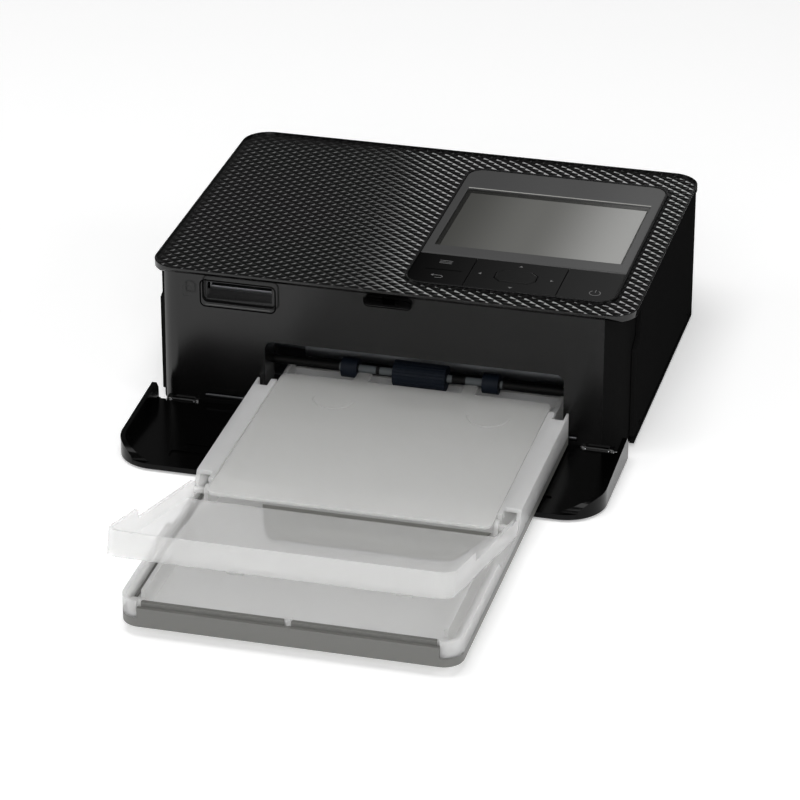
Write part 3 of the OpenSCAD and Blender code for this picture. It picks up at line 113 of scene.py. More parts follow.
def slotOf(nodeName):
    return next(part["material_slot"] for part in frame["record"]["subparts"] if part["node"] == nodeName)


def attach(piece, nodeName):
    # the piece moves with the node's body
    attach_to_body(piece, bodyOf(nodeName))


def meshObject(name, verts, faces, material):
    mesh = bpy.data.meshes.new(name)
    mesh.from_pydata([tuple(v) for v in verts], [], faces)
    mesh.materials.append(material)
    mesh.validate()
    mesh.update()
    piece = bpy.data.objects.new(name, mesh)
    bpy.context.scene.collection.objects.link(piece)
    return piece


def bakeModifiers(piece):
    # what the piece's modifiers make becomes its plain mesh
    evaluated = piece.evaluated_get(bpy.context.evaluated_depsgraph_get())
    finished = bpy.data.meshes.new_from_object(evaluated)
    piece.modifiers.clear()
    piece.data = finished
    return finished


def flatPiece(name, outlines, z, height, material):
    # thin printed or inlaid shapes: each outline is a closed list of x, y points in mm; z and height in metres
    verts, faces = [], []
    for outline in outlines:
        start, count = len(verts), len(outline)
        area = sum(a[0] * b[1] - b[0] * a[1] for a, b in zip(outline, outline[1:] + outline[:1]))
        ring = outline if area > 0 else outline[::-1]
        verts += [(x * mm, y * mm, z) for x, y in ring] + [(x * mm, y * mm, z + height) for x, y in ring]
        faces.append([start + count - 1 - i for i in range(count)])
        faces.append([start + count + i for i in range(count)])
        for i in range(count):
            j = (i + 1) % count
            faces.append([start + i, start + j, start + count + j, start + count + i])
    return meshObject(name, verts, faces, material)


def rectangle(x0, y0, x1, y1):
    return [(x0, y0), (x1, y0), (x1, y1), (x0, y1)]


def arcPoints(cx, cy, radius, start, end, steps):
    turns = [math.radians(start + (end - start) * i / steps) for i in range(steps + 1)]
    return [(cx + radius * math.cos(t), cy + radius * math.sin(t)) for t in turns]


def strokeOutline(points, width):
    # outline of a pen stroke with square ends
    left, right = [], []
    for i, point in enumerate(points):
        before, after = points[max(i - 1, 0)], points[min(i + 1, len(points) - 1)]
        run = Vector((after[0] - before[0], after[1] - before[1])).normalized()
        side = Vector((-run.y, run.x)) * width / 2
        left.append((point[0] + side.x, point[1] + side.y))
        right.append((point[0] - side.x, point[1] - side.y))
    return left + right[::-1]


topLow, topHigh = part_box("top_cover")
panelLow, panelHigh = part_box("display_panel")
keysLow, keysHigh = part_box("left_key")
knurl = {
    "pitchX": 5.2 * mm,
    "pitchY": 4.25 * mm,
    "height": 0.3 * mm,
    "flat": 0.06,  # share of each stud left flat on top
    "rim": 0.6 * mm,  # smooth line left round the field
    "cornerRadius": 9.6 * mm,
    "fieldDepth": 0.6 * mm,
    "panelBorder": 0.7 * mm,
    "panelRadius": 6.7 * mm,
}


def texturedAbs():
    # ABS moulded against an engraved tool: shallow studs carrying painted light, a painted highlight on their
    # tips and painted shade in the grooves between them
    gloss = {"Roughness": 0.12, "IOR": 1.54, "Specular IOR Level": 0.3}
    material, tree, shader = newMaterial("texturedAbs", "#030303", gloss)
    foot = topHigh[2] - knurl["fieldDepth"]
    # the colour runs from painted shade at the studs' foot to a painted highlight on their tips
    stops = [(0, "#010101"), (0.5, "#030303"), (1, "#1c1c1c")]
    tintAlong(tree, shader, "Z", foot, foot + knurl["height"], stops)
    return material


def rimAbs():
    # the same cover where the tool is plain: black, softly glossy
    return newMaterial("rimAbs", "#040404", {"Roughness": 0.22, "IOR": 1.54, "Specular IOR Level": 0.45})[0]


def satinAbs():
    # ABS from a polished tool, lightly satin: black with a soft reflection and faint flow marks
    material, tree, shader = newMaterial("satinAbs", "#080808", {"IOR": 1.54, "Specular IOR Level": 0.4})
    flowWidth = 18 * mm
    flow = addNode(tree, "ShaderNodeTexNoise", {"Scale": 1 / flowWidth, "Detail": 2.0},
                   {"Vector": objectPoint(tree)})
    spread = addNode(tree, "ShaderNodeMapRange", {"To Min": 0.20, "To Max": 0.27},
                     {"Value": flow.outputs["Fac"]})
    tree.links.new(spread.outputs["Result"], shader.inputs["Roughness"])
    return material


def mattAbs():
    # ABS moulded against a finely blasted tool, as on the side walls: black, without a reflection
    return newMaterial("mattAbs", "#171717", {"Roughness": 0.6, "Specular IOR Level": 0.0})[0]


def coverAbs():
    # the same ABS on the cover's inside, deep black and glossier
    return newMaterial("coverAbs", "#020202", {"Roughness": 0.2, "IOR": 1.54, "Specular IOR Level": 0.12})[0]


def smokedAcrylic():
    # injection-moulded acrylic window, smoke grey and glossy; a painted reflection lightens it towards its
    # right end
    gloss = {"Roughness": 0.12, "IOR": 1.49, "Specular IOR Level": 0.25}
    material, tree, shader = newMaterial("smokedAcrylic", "#505050", gloss)
    # painted reflection: the base colour lightens along the piece towards the right
    stops = [(0, "#464646"), (0.5, "#505050"), (1, "#5e5e5e")]
    tintAlong(tree, shader, "X", panelLow[0], panelHigh[0], stops, "EASE")
    return material


def displayGlass():
    # switched-off liquid crystal display behind its window: warm grey, with a painted reflection that brightens
    # it towards the right
    material, tree, shader = newMaterial("displayGlass", "#6c6c69", {"Roughness": 0.22, "IOR": 1.5})
    low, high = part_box("lcd_screen")
    # painted reflection: the base colour brightens along the screen towards the right
    stops = [(0, "#454542"), (0.45, "#6c6c69"), (1, "#adadab")]
    tintAlong(tree, shader, "X", low[0], high[0], stops, "EASE")
    return material


def keyAbs():
    # piano-black key tops: polished ABS, with a painted reflection that lightens them from the left towards the
    # power key
    gloss = {"Roughness": 0.2, "IOR": 1.54, "Specular IOR Level": 0.03}
    material, tree, shader = newMaterial("keyAbs", "#181818", gloss)
    keyRow = 78 * mm  # from the left key's edge to the power key's
    # painted reflection: the base colour lightens along the key row
    tintAlong(tree, shader, "X", keysLow[0], keysLow[0] + keyRow, [(0, "#020202"), (1, "#303030")])
    return material


def polypropylene(name, colour, roughness, alpha, depth):
    # thin moulded wall: alpha is the share of the light it holds back, which then spreads this deep in it
    return newMaterial(name, colour, {
        "Roughness": roughness, "IOR": 1.49, "Alpha": alpha, "Subsurface Weight": 1.0,
        "Subsurface Radius": (1.0, 1.0, 0.98), "Subsurface Scale": depth,
    })


def milkyPolypropylene():
    # natural polypropylene of the tray's walls, a milky veil
    return polypropylene("milkyPolypropylene", "#f8f8f6", 0.28, 0.6, 8 * mm)[0]


def thinPolypropylene():
    # the same polypropylene in the thin paper lid, with painted shade that greys it towards its rear, over the
    # printer's dark throat
    material, tree, shader = polypropylene("thinPolypropylene", "#d8d8d6", 0.25, 0.44, 3 * mm)
    low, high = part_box("inner_lid")
    # painted shade: the base colour darkens towards the lid's rear
    tintAlong(tree, shader, "Y", low[1], high[1], [(0, "#ececea"), (1, "#c2c2c0")])
    return material


def clearPolypropylene():
    # clarified polypropylene of the output lid, a little clearer and glossier
    return polypropylene("clearPolypropylene", "#f6f6f4", 0.2, 0.28, 3 * mm)[0]


def greyPolystyrene():
    # opaque impact polystyrene, mid grey, even satin
    return newMaterial("greyPolystyrene", "#6f6f6c", {"Roughness": 0.45, "IOR": 1.55})[0]


roller = {  # mm, along the pickup shaft and away from its axle
    "rubberFrom": 1.7,
    "rampFrom": -50, "rampTo": 70,
    "hubs": ((-22.5, -21.2), (-15.2, -8.3), (-7.0, -1.3), (18.7, 20.6), (25.5, 32.6), (38.6, 40.0)),
    "shaftColour": "#060606", "hubColour": "#5c6062", "rubberColour": "#0d1520",
}


def ribbedRubber():
    # nitrile rubber sleeves, dark blue and matt, on a black shaft with bare acetal hubs beside them
    matt = {"Roughness": 0.6, "Specular IOR Level": 0.2}
    material, tree, shader = newMaterial("ribbedRubber", roller["rubberColour"], matt)
    low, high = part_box("pickup_gear")
    place = addNode(tree, "ShaderNodeSeparateXYZ", links={0: objectPoint(tree)})
    squares = []
    for axis, middle in (("Y", (low[1] + high[1]) / 2), ("Z", (low[2] + high[2]) / 2)):
        off = addNode(tree, "ShaderNodeMath", {"operation": "SUBTRACT", 1: middle}, {0: place.outputs[axis]})
        square = addNode(tree, "ShaderNodeMath", {"operation": "POWER", 1: 2.0}, {0: off.outputs[0]})
        squares.append(square.outputs[0])
    total = addNode(tree, "ShaderNodeMath", {"operation": "ADD"}, {0: squares[0], 1: squares[1]})
    least = (roller["rubberFrom"] * mm) ** 2
    onRubber = addNode(tree, "ShaderNodeMath", {"operation": "GREATER_THAN", 1: least}, {0: total.outputs[0]})
    start, end = roller["rampFrom"], roller["rampTo"]
    span = {"From Min": start * mm, "From Max": end * mm}
    along = addNode(tree, "ShaderNodeMapRange", span, {"Value": place.outputs["X"]})
    stops = [(0, roller["shaftColour"])]
    for hubStart, hubEnd in roller["hubs"]:
        stops.append(((hubStart - start) / (end - start), roller["hubColour"]))
        stops.append(((hubEnd - start) / (end - start), roller["shaftColour"]))
    stops.append((1, roller["shaftColour"]))
    hubs = colourRamp(tree, along.outputs["Result"], stops, "CONSTANT")
    tint = addNode(tree, "ShaderNodeMix", {"data_type": "RGBA"}, {"Factor": onRubber.outputs[0]})
    tree.links.new(hubs, tint.inputs[6])
    tint.inputs[7].default_value = linearColour(roller["rubberColour"])
    tree.links.new(tint.outputs[2], shader.inputs["Base Color"])
    return material


finishes = {
    "body_black": satinAbs(),
    "cover_black": coverAbs(),
    "top_black": texturedAbs(),
    "panel_grey": smokedAcrylic(),
    "screen_glass": displayGlass(),
    "key_black": keyAbs(),
    "tray_clear": milkyPolypropylene(),
    "lid_clear": clearPolypropylene(),
    "tray_grey": greyPolystyrene(),
    "plate_grey": plainMaterial("greyPlate", "#8e8e8a", 0.5),  # impact polystyrene, a shade paler
    "roller_rubber": ribbedRubber(),
    "foot_rubber": plainMaterial("footRubber", "#1d1d1f", 0.85),  # cast rubber, dull
    "pinch_rubber": plainMaterial("pinchRubber", "#232325", 0.55),  # ground rubber, smooth
    "screw_steel": plainMaterial("zincSteel", "#9c9da0", 0.38, 1.0),  # zinc plate, softly bright
    "pin_steel": plainMaterial("groundSteel", "#b0b1b4", 0.25, 1.0),  # centreless-ground pin
    "rod_steel": plainMaterial("drawnSteel", "#5c5d5f", 0.3, 1.0),  # drawn rod, a dull grey
    "port_metal": plainMaterial("tinnedSheet", "#a6a8aa", 0.34, 1.0),  # tin plate
    "chassis_steel": plainMaterial("galvanisedSheet", "#9b9da0", 0.42, 1.0),  # galvanised sheet
    "capstan_steel": plainMaterial("etchedSteel", "#7f8184", 0.5, 1.0),  # etched roller
    "dome_metal": plainMaterial("snapDome", "#c4c5c8", 0.25, 1.0),  # stamped spring steel
    "motor_steel": plainMaterial("motorCan", "#b2b4b7", 0.3, 1.0),  # nickel-plated can
    "head_aluminium": plainMaterial("castAluminium", "#a5a7aa", 0.45, 1.0),  # die casting
    "pinion_brass": plainMaterial("cutBrass", "#c09a4c", 0.3, 1.0),  # hobbed brass
    "gear_white": plainMaterial("acetal", "#d8d6cf", 0.4),  # natural acetal, waxy
    "inner_plastic": plainMaterial("darkPlastic", "#1c1c1e", 0.5),  # filled nylon
    "board_green": plainMaterial("solderMask", "#1f4f38", 0.35),  # lacquered glass fibre board
    "ink_grey": plainMaterial("ribbonCase", "#2c2c30", 0.45),  # polystyrene
    "spool_grey": plainMaterial("woundFilm", "#39323f", 0.25),  # film wound tight, glossy
    "ribbon_film": plainMaterial("dyeFilm", "#5a2c4c", 0.2),  # thin dye film
}
for nodeName, piece in frame["nodes"].items():
    for materialSlot in piece.material_slots:
        materialSlot.material = finishes[slotOf(nodeName)]
sideFinish = mattAbs()
ownFinishes = {  # mouldings finished otherwise than the rest of their slot
    "top_cover": rimAbs(), "inner_lid": thinPolypropylene(),
    "right_frame": sideFinish, "left_panel": sideFinish, "rear_panel": sideFinish, "ink_door": sideFinish,
}
print("materials set:", len(finishes))

cameraView = {
    "position": (322.505, -1281.559, 650.059),  # mm
    "target": (-13.273, 0.0, -20.615),
    "lens": 172.49,
    "sensor": 36,
    "shift": (0.0029, 0.0003),
    "clip": (0.05, 50),  # m
}


def placeCamera():
    data = bpy.data.cameras.new("studioCamera")
    camera = bpy.data.objects.new("studioCamera", data)
    bpy.context.scene.collection.objects.link(camera)
    camera.location = Vector(cameraView["position"]) * mm
    look = Vector(cameraView["target"]) * mm - camera.location
    camera.rotation_euler = look.to_track_quat("-Z", "Y").to_euler()
    data.sensor_width = cameraView["sensor"]
    data.lens = cameraView["lens"]
    data.shift_x, data.shift_y = cameraView["shift"]
    data.clip_start, data.clip_end = cameraView["clip"]
    bpy.context.scene.camera = camera


placeCamera()
print("camera placed")

studio = {
    "lamps": {  # place and size in m, power in W
        "overheadSoftbox": ((-0.1, -0.45, 1.9), (1.3, 1.1), 19),
        "leftSoftbox": ((-1.6, -0.7, 0.9), (0.9, 1.2), 8),
        "rightSoftbox": ((1.6, -0.5, 0.8), (0.8, 1.0), 8),
        "frontSoftbox": ((0.3, -1.7, 1.0), (1.2, 0.9), 12.5),
    },
    "lampTarget": (0, -0.05, 0),
    "cards": (  # lower left and upper right corners in m, and the strength that gloss mirrors
        ((-2.0, 2.6, 0.0), (-0.80, 2.6, 0.6), 0.75),
        ((-0.44, 2.6, 0.0), (0.5, 2.6, 0.85), 2.0),
    ),
    "worldStrength": 0.12,
    "floorSize": 24.0,  # m
    "floorColour": "#f2f2f2",
    "floorGlow": 0.3,
}
white = (1, 1, 1, 1)


def softLamp(name, place, size, power):
    data = bpy.data.lights.new(name, "AREA")
    data.shape = "RECTANGLE"
    data.size, data.size_y = size
    data.energy = power
    lamp = bpy.data.objects.new(name, data)
    bpy.context.scene.collection.objects.link(lamp)
    lamp.location = place
    look = Vector(studio["lampTarget"]) - Vector(place)
    lamp.rotation_euler = look.to_track_quat("-Z", "Y").to_euler()
    lamp.visible_camera = False


def lightStudio():
    for name, (place, size, power) in studio["lamps"].items():
        softLamp(name, place, size, power)
    world = bpy.data.worlds.new("studioWorld")
    world.use_nodes = True
    bpy.context.scene.world = world
    tree = world.node_tree
    tree.nodes.clear()
    plain = addNode(tree, "ShaderNodeBackground", {"Color": white, "Strength": studio["worldStrength"]})
    addNode(tree, "ShaderNodeOutputWorld", links={"Surface": plain.outputs[0]})


def surfaceOf(tree):
    return next(node for node in tree.nodes if node.type == "OUTPUT_MATERIAL").inputs["Surface"]


def layFloor():
    # seamless paper that glows a little where it is seen, mirrored or refracted, so that it reads as white
    matt = {"Roughness": 0.9, "Specular IOR Level": 0.1}
    material, tree, shader = newMaterial("seamlessPaper", studio["floorColour"], matt)
    ray = addNode(tree, "ShaderNodeLightPath")
    seen = addNode(tree, "ShaderNodeMath", {"operation": "MAXIMUM"},
                   {0: ray.outputs["Is Camera Ray"], 1: ray.outputs["Is Glossy Ray"]})
    shown = addNode(tree, "ShaderNodeMath", {"operation": "MAXIMUM"},
                    {0: seen.outputs[0], 1: ray.outputs["Is Transmission Ray"]})
    strength = addNode(tree, "ShaderNodeMath", {"operation": "MULTIPLY", 1: studio["floorGlow"]},
                       {0: shown.outputs[0]})
    glow = addNode(tree, "ShaderNodeEmission", {"Color": white}, {"Strength": strength.outputs[0]})
    both = addNode(tree, "ShaderNodeAddShader", links={0: shader.outputs[0], 1: glow.outputs[0]})
    tree.links.new(both.outputs[0], surfaceOf(tree))
    half = studio["floorSize"] / 2
    corners = [(x, y, 0) for x, y in rectangle(-half, -half, half, half)]
    meshObject("studioFloor", corners, [(0, 1, 2, 3)], material)


def standCards():
    # two pale cards stand on the paper behind the object: besides the camera, only gloss sees them
    for number, (low, high, strength) in enumerate(studio["cards"]):
        material, tree, shader = newMaterial("paleCard" + str(number), "#ffffff", {})
        tree.nodes.remove(shader)
        ray = addNode(tree, "ShaderNodeLightPath")
        mirrored = addNode(tree, "ShaderNodeMath", {"operation": "MULTIPLY", 1: strength},
                           {0: ray.outputs["Is Glossy Ray"]})
        level = addNode(tree, "ShaderNodeMath", {"operation": "MAXIMUM"},
                        {0: ray.outputs["Is Camera Ray"], 1: mirrored.outputs[0]})
        glow = addNode(tree, "ShaderNodeEmission", {"Color": white}, {"Strength": level.outputs[0]})
        tree.links.new(glow.outputs[0], surfaceOf(tree))
        corners = [low, (high[0], high[1], low[2]), high, (low[0], low[1], high[2])]
        meshObject("studioCard" + str(number), corners, [(0, 1, 2, 3)], material)


lightStudio()
layFloor()
standCards()
print("studio ready")

softEdges = {  # width of the rounding in mm for each moulded piece
    "top_cover": 0.35, "front_bezel": 0.3, "left_panel": 0.3, "right_frame": 0.25, "rear_panel": 0.25,
    "ink_door": 0.3, "front_cover": 0.35, "latch_keeper": 0.2, "display_panel": 0.35, "left_key": 0.35,
    "nav_pad": 0.35, "ok_key": 0.45, "power_key": 0.35, "cassette_base": 0.3, "cassette_body": 0.25,
    "inner_lid": 0.2, "outer_lid": 0.25,
}
moulding = {
    "merge": 0.002 * mm,
    "flatAngle": math.radians(1),  # faces that bend less are joined
    "edgeAngle": math.radians(32),  # edges that bend more are rounded
    "rounds": 2,
    "flankFrom": 80 * mm,  # a flank lies further out than this
    "rightLean": {"top_cover": 0.95, "front_bezel": 0.01},  # and faces outwards by more than this
    "leftLean": {"front_bezel": 0.75},
}


def joinFlats(mesh):
    shape = bmesh.new()
    shape.from_mesh(mesh)
    bmesh.ops.remove_doubles(shape, verts=shape.verts, dist=moulding["merge"])
    bmesh.ops.dissolve_limit(shape, angle_limit=moulding["flatAngle"], verts=shape.verts, edges=shape.edges,
                             delimit={"NORMAL"})
    shape.to_mesh(mesh)
    shape.free()


def roundEdges(piece, width):
    bevel = piece.modifiers.new("roundEdges", "BEVEL")
    bevel.width = width
    bevel.segments = moulding["rounds"]
    bevel.limit_method = "ANGLE"
    bevel.angle_limit = moulding["edgeAngle"]
    bevel.harden_normals = True
    bevel.use_clamp_overlap = True
    bevel.miter_outer = "MITER_ARC"
    level = piece.modifiers.new("flatNormals", "WEIGHTED_NORMAL")
    level.mode = "FACE_AREA"
    level.weight = 100
    level.keep_sharp = True
    return bakeModifiers(piece)


def blastFlanks(nodeName, mesh):
    # the flanks of the top and the front are blasted like the sides next to them
    mesh.materials.append(sideFinish)
    rightLean = moulding["rightLean"][nodeName]
    leftLean = moulding["leftLean"].get(nodeName)
    for polygon in mesh.polygons:
        x, lean = polygon.center.x, polygon.normal.x
        onRight = x > moulding["flankFrom"] and lean > rightLean
        onLeft = leftLean is not None and x < -moulding["flankFrom"] and lean < -leftLean
        if onRight or onLeft:
            polygon.material_index = 1


def soften(nodeName, width):
    # a moulded copy of the node: merged, its flats joined, its edges rounded
    mesh = frame["nodes"][nodeName].data.copy()
    joinFlats(mesh)
    piece = bpy.data.objects.new("moulded_" + nodeName, mesh)
    bpy.context.scene.collection.objects.link(piece)
    for polygon in mesh.polygons:
        polygon.use_smooth = True
    finished = roundEdges(piece, width)
    if nodeName in ownFinishes:
        finished.materials[0] = ownFinishes[nodeName]
    if nodeName in moulding["rightLean"]:
        blastFlanks(nodeName, finished)
    attach(piece, nodeName)
    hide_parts(nodeName)


for nodeName, width in softEdges.items():
    soften(nodeName, width * mm)
print("edges softened:", len(softEdges))

fieldHalf = ((topHigh[0] - topLow[0]) / 2 - knurl["rim"], (topHigh[1] - topLow[1]) / 2 - knurl["rim"])
panelMiddle = Vector(((panelLow[0] + panelHigh[0]) / 2, (keysLow[1] + panelHigh[1]) / 2, 0))
panelHalf = (
    (panelHigh[0] - panelLow[0]) / 2 + knurl["panelBorder"],
    (panelHigh[1] - keysLow[1]) / 2 + knurl["panelBorder"],
)


def keepToOutline(tree, point, half, radius, outside):
    # draws points onto a round-cornered outline: those outside it, or those inside it where outside is true
    # gives their new place and their reach past the outline's core
    size = addNode(tree, "ShaderNodeVectorMath", {"operation": "ABSOLUTE"}, {0: point}).outputs[0]
    core = Vector((half[0] - radius, half[1] - radius, 1.0))
    inner = addNode(tree, "ShaderNodeVectorMath", {"operation": "MINIMUM", 1: core}, {0: size}).outputs[0]
    over = addNode(tree, "ShaderNodeVectorMath", {"operation": "SUBTRACT"}, {0: size, 1: inner}).outputs[0]
    flat = addNode(tree, "ShaderNodeVectorMath", {"operation": "MULTIPLY", 1: (1, 1, 0)}, {0: over}).outputs[0]
    reach = addNode(tree, "ShaderNodeVectorMath", {"operation": "LENGTH"}, {0: flat}).outputs["Value"]
    share = addNode(tree, "ShaderNodeMath", {"operation": "DIVIDE", 0: radius}, {1: reach}).outputs[0]
    choice = "MAXIMUM" if outside else "MINIMUM"
    limit = addNode(tree, "ShaderNodeMath", {"operation": choice, 1: 1.0}, {0: share}).outputs[0]
    if not outside:  # a point with no overhang keeps its place
        none = addNode(tree, "ShaderNodeMath", {"operation": "LESS_THAN", 1: 1e-7}, {0: reach}).outputs[0]
        limit = addNode(tree, "ShaderNodeMath", {"operation": "MAXIMUM"}, {0: limit, 1: none}).outputs[0]
    scaled = addNode(tree, "ShaderNodeVectorMath", {"operation": "SCALE"}, {0: flat, "Scale": limit}).outputs[0]
    total = addNode(tree, "ShaderNodeVectorMath", {"operation": "ADD"}, {0: inner, 1: scaled}).outputs[0]
    sign = addNode(tree, "ShaderNodeVectorMath", {"operation": "SIGN"}, {0: point}).outputs[0]
    placed = addNode(tree, "ShaderNodeVectorMath", {"operation": "MULTIPLY"}, {0: total, 1: sign})
    return placed.outputs[0], reach


def staggeredPoints(tree, pitchX, pitchY):
    # two grids, the second shifted by half a pitch both ways; three spare points carry each past the field
    across = int(2 * fieldHalf[0] / knurl["pitchX"]) + 3
    back = int(2 * fieldHalf[1] / knurl["pitchY"]) + 3
    rows = addNode(tree, "GeometryNodeJoinGeometry")
    for shift in (0.0, 0.5):
        spanX = addNode(tree, "ShaderNodeMath", {"operation": "MULTIPLY", 1: float(across - 1)}, {0: pitchX})
        spanY = addNode(tree, "ShaderNodeMath", {"operation": "MULTIPLY", 1: float(back - 1)}, {0: pitchY})
        grid = addNode(tree, "GeometryNodeMeshGrid", {"Vertices X": across, "Vertices Y": back},
                       {"Size X": spanX.outputs[0], "Size Y": spanY.outputs[0]})
        offX = addNode(tree, "ShaderNodeMath", {"operation": "MULTIPLY", 1: shift}, {0: pitchX})
        offY = addNode(tree, "ShaderNodeMath", {"operation": "MULTIPLY", 1: shift}, {0: pitchY})
        offset = addNode(tree, "ShaderNodeCombineXYZ", links={"X": offX.outputs[0], "Y": offY.outputs[0]})
        moved = addNode(tree, "GeometryNodeSetPosition",
                        links={"Geometry": grid.outputs["Mesh"], "Offset": offset.outputs[0]})
        tree.links.new(moved.outputs[0], rows.inputs[0])
    return rows.outputs[0]


def freePoints(tree, points):
    # leaves out the points that lie off the field or on the panel
    place = addNode(tree, "GeometryNodeInputPosition").outputs[0]
    fieldReach = keepToOutline(tree, place, fieldHalf, knurl["cornerRadius"], False)[1]
    offField = addNode(tree, "ShaderNodeMath", {"operation": "GREATER_THAN", 1: knurl["cornerRadius"]},
                       {0: fieldReach})
    fromPanel = addNode(tree, "ShaderNodeVectorMath", {"operation": "SUBTRACT", 1: panelMiddle}, {0: place})
    panelReach = keepToOutline(tree, fromPanel.outputs[0], panelHalf, knurl["panelRadius"], True)[1]
    onPanel = addNode(tree, "ShaderNodeMath", {"operation": "LESS_THAN", 1: knurl["panelRadius"]},
                      {0: panelReach})
    gone = addNode(tree, "ShaderNodeMath", {"operation": "MAXIMUM"},
                   {0: offField.outputs[0], 1: onPanel.outputs[0]})
    kept = addNode(tree, "GeometryNodeDeleteGeometry", {"domain": "POINT"},
                   {"Geometry": points, "Selection": gone.outputs[0]})
    return kept.outputs[0]


def trimmedPlace(tree):
    # corners that hang over an outline are drawn back onto it
    corner = addNode(tree, "GeometryNodeInputPosition").outputs[0]
    inField = keepToOutline(tree, corner, fieldHalf, knurl["cornerRadius"], False)[0]
    shifted = addNode(tree, "ShaderNodeVectorMath", {"operation": "SUBTRACT", 1: panelMiddle}, {0: inField})
    offPanel = keepToOutline(tree, shifted.outputs[0], panelHalf, knurl["panelRadius"], True)[0]
    restored = addNode(tree, "ShaderNodeVectorMath", {"operation": "ADD", 1: panelMiddle}, {0: offPanel})
    return restored.outputs[0]


def knurlTree(material):
    tree = bpy.data.node_groups.new("knurledField", "GeometryNodeTree")
    sockets = tree.interface
    sockets.new_socket("Geometry", in_out="INPUT", socket_type="NodeSocketGeometry")
    for name in ("Pitch Across", "Pitch Back", "Stud Height", "Flat Share"):
        sockets.new_socket(name, in_out="INPUT", socket_type="NodeSocketFloat")
    sockets.new_socket("Geometry", in_out="OUTPUT", socket_type="NodeSocketGeometry")
    given = addNode(tree, "NodeGroupInput")
    pitchX, pitchY = given.outputs["Pitch Across"], given.outputs["Pitch Back"]
    points = freePoints(tree, staggeredPoints(tree, pitchX, pitchY))
    # one stud: a four-sided pyramid with a small flat top
    stud = addNode(tree, "GeometryNodeMeshCone",
                   {"Vertices": 4, "Radius Bottom": 1.0, "Depth": 1.0, "fill_type": "NGON"},
                   {"Radius Top": given.outputs["Flat Share"]})
    halfX = addNode(tree, "ShaderNodeMath", {"operation": "MULTIPLY", 1: 0.5}, {0: pitchX})
    halfY = addNode(tree, "ShaderNodeMath", {"operation": "MULTIPLY", 1: 0.5}, {0: pitchY})
    scale = addNode(tree, "ShaderNodeCombineXYZ",
                    links={"X": halfX.outputs[0], "Y": halfY.outputs[0], "Z": given.outputs["Stud Height"]})
    spread = addNode(tree, "GeometryNodeInstanceOnPoints",
                     links={"Points": points, "Instance": stud.outputs["Mesh"], "Scale": scale.outputs[0]})
    real = addNode(tree, "GeometryNodeRealizeInstances", links={"Geometry": spread.outputs[0]})
    base = topHigh[2] - knurl["fieldDepth"]
    lifted = addNode(tree, "GeometryNodeSetPosition", {"Offset": (0, 0, base)},
                     {"Geometry": real.outputs[0], "Position": trimmedPlace(tree)})
    painted = addNode(tree, "GeometryNodeSetMaterial", {"Material": material}, {"Geometry": lifted.outputs[0]})
    addNode(tree, "NodeGroupOutput", links={"Geometry": painted.outputs[0]})
    return tree


def patternPiece(name, tree, values, material):
    # runs a geometry tree on an empty mesh and keeps its result as a plain mesh with flat faces
    piece = meshObject(name, [], [], material)
    modifier = piece.modifiers.new("pattern", "NODES")
    modifier.node_group = tree
    for item in tree.interface.items_tree:
        if item.in_out == "INPUT" and item.name in values:
            modifier[item.identifier] = values[item.name]
    for polygon in bakeModifiers(piece).polygons:
        polygon.use_smooth = False
    return piece


knurlSizes = {
    "Pitch Across": knurl["pitchX"], "Pitch Back": knurl["pitchY"],
    "Stud Height": knurl["height"], "Flat Share": knurl["flat"],
}
studs = patternPiece("knurledStuds", knurlTree(finishes["top_black"]), knurlSizes, finishes["top_black"])
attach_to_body(studs, "printer")
print("knurl made:", len(studs.data.polygons), "faces")

sinking = 0.005 * mm  # a printed shape or line starts this far inside the face that carries it
signs = {  # mm, on the keys
    "stroke": 0.28,
    "height": 0.025,
    "listAt": (14.4, -35.2), "listLines": (-1.1, 0, 1.1), "listHalf": 2.4,
    "backAt": (14.1, -48.0), "hookRadius": 1.0, "hookFrom": -1.8, "hookTo": -0.6,
    "hookHead": [(-2.6, 1.0), (-1.5, 1.8), (-1.5, 0.2)],
    "arrows": {  # place and turn in degrees
        "left": (28.8, -41.6, 180), "up": (42.2, -32.4, 90),
        "down": (42.2, -50.9, -90), "right": (55.6, -41.6, 0),
    },
    "arrowTip": [(0.7, 0), (-0.4, 0.8), (-0.4, -0.8)],
    "powerAt": (73.1, -47.7), "powerRadius": 2.0, "powerTurn": (125, 415), "powerBar": (0.5, 2.6),
}
keyInk = newMaterial("signInk", "#707070", {"Roughness": 0.6})[0]  # pad print, pale grey


def keySign(name, outlines, nodeName):
    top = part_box(nodeName)[1][2]
    attach(flatPiece(name, outlines, top - sinking, signs["height"] * mm, keyInk), nodeName)


def printSigns():
    pen = signs["stroke"]
    x, y = signs["listAt"]
    half = signs["listHalf"]
    lines = [strokeOutline([(x - half, y + rise), (x + half, y + rise)], pen) for rise in signs["listLines"]]
    keySign("listSign", lines, "left_key")
    x, y = signs["backAt"]
    radius = signs["hookRadius"]
    bend = arcPoints(x + radius, y, radius, 90, -90, 12)
    hook = [(x + signs["hookFrom"], y + radius), (x + radius, y + radius)] + bend
    hook.append((x + signs["hookTo"], y - radius))
    head = [(x + px, y + py) for px, py in signs["hookHead"]]
    keySign("backSign", [strokeOutline(hook, pen), head], "left_key")
    for name, (x, y, turn) in signs["arrows"].items():
        along, across = math.cos(math.radians(turn)), math.sin(math.radians(turn))
        tip = [(x + px * along - py * across, y + px * across + py * along) for px, py in signs["arrowTip"]]
        keySign("arrow_" + name, [tip], "nav_pad")
    x, y = signs["powerAt"]
    start, end = signs["powerTurn"]
    low, high = signs["powerBar"]
    ring = strokeOutline(arcPoints(x, y, signs["powerRadius"], start, end, 36), pen)
    bar = strokeOutline([(x, y + low), (x, y + high)], pen)
    keySign("powerSign", [ring, bar], "power_key")


printSigns()
print("signs made")

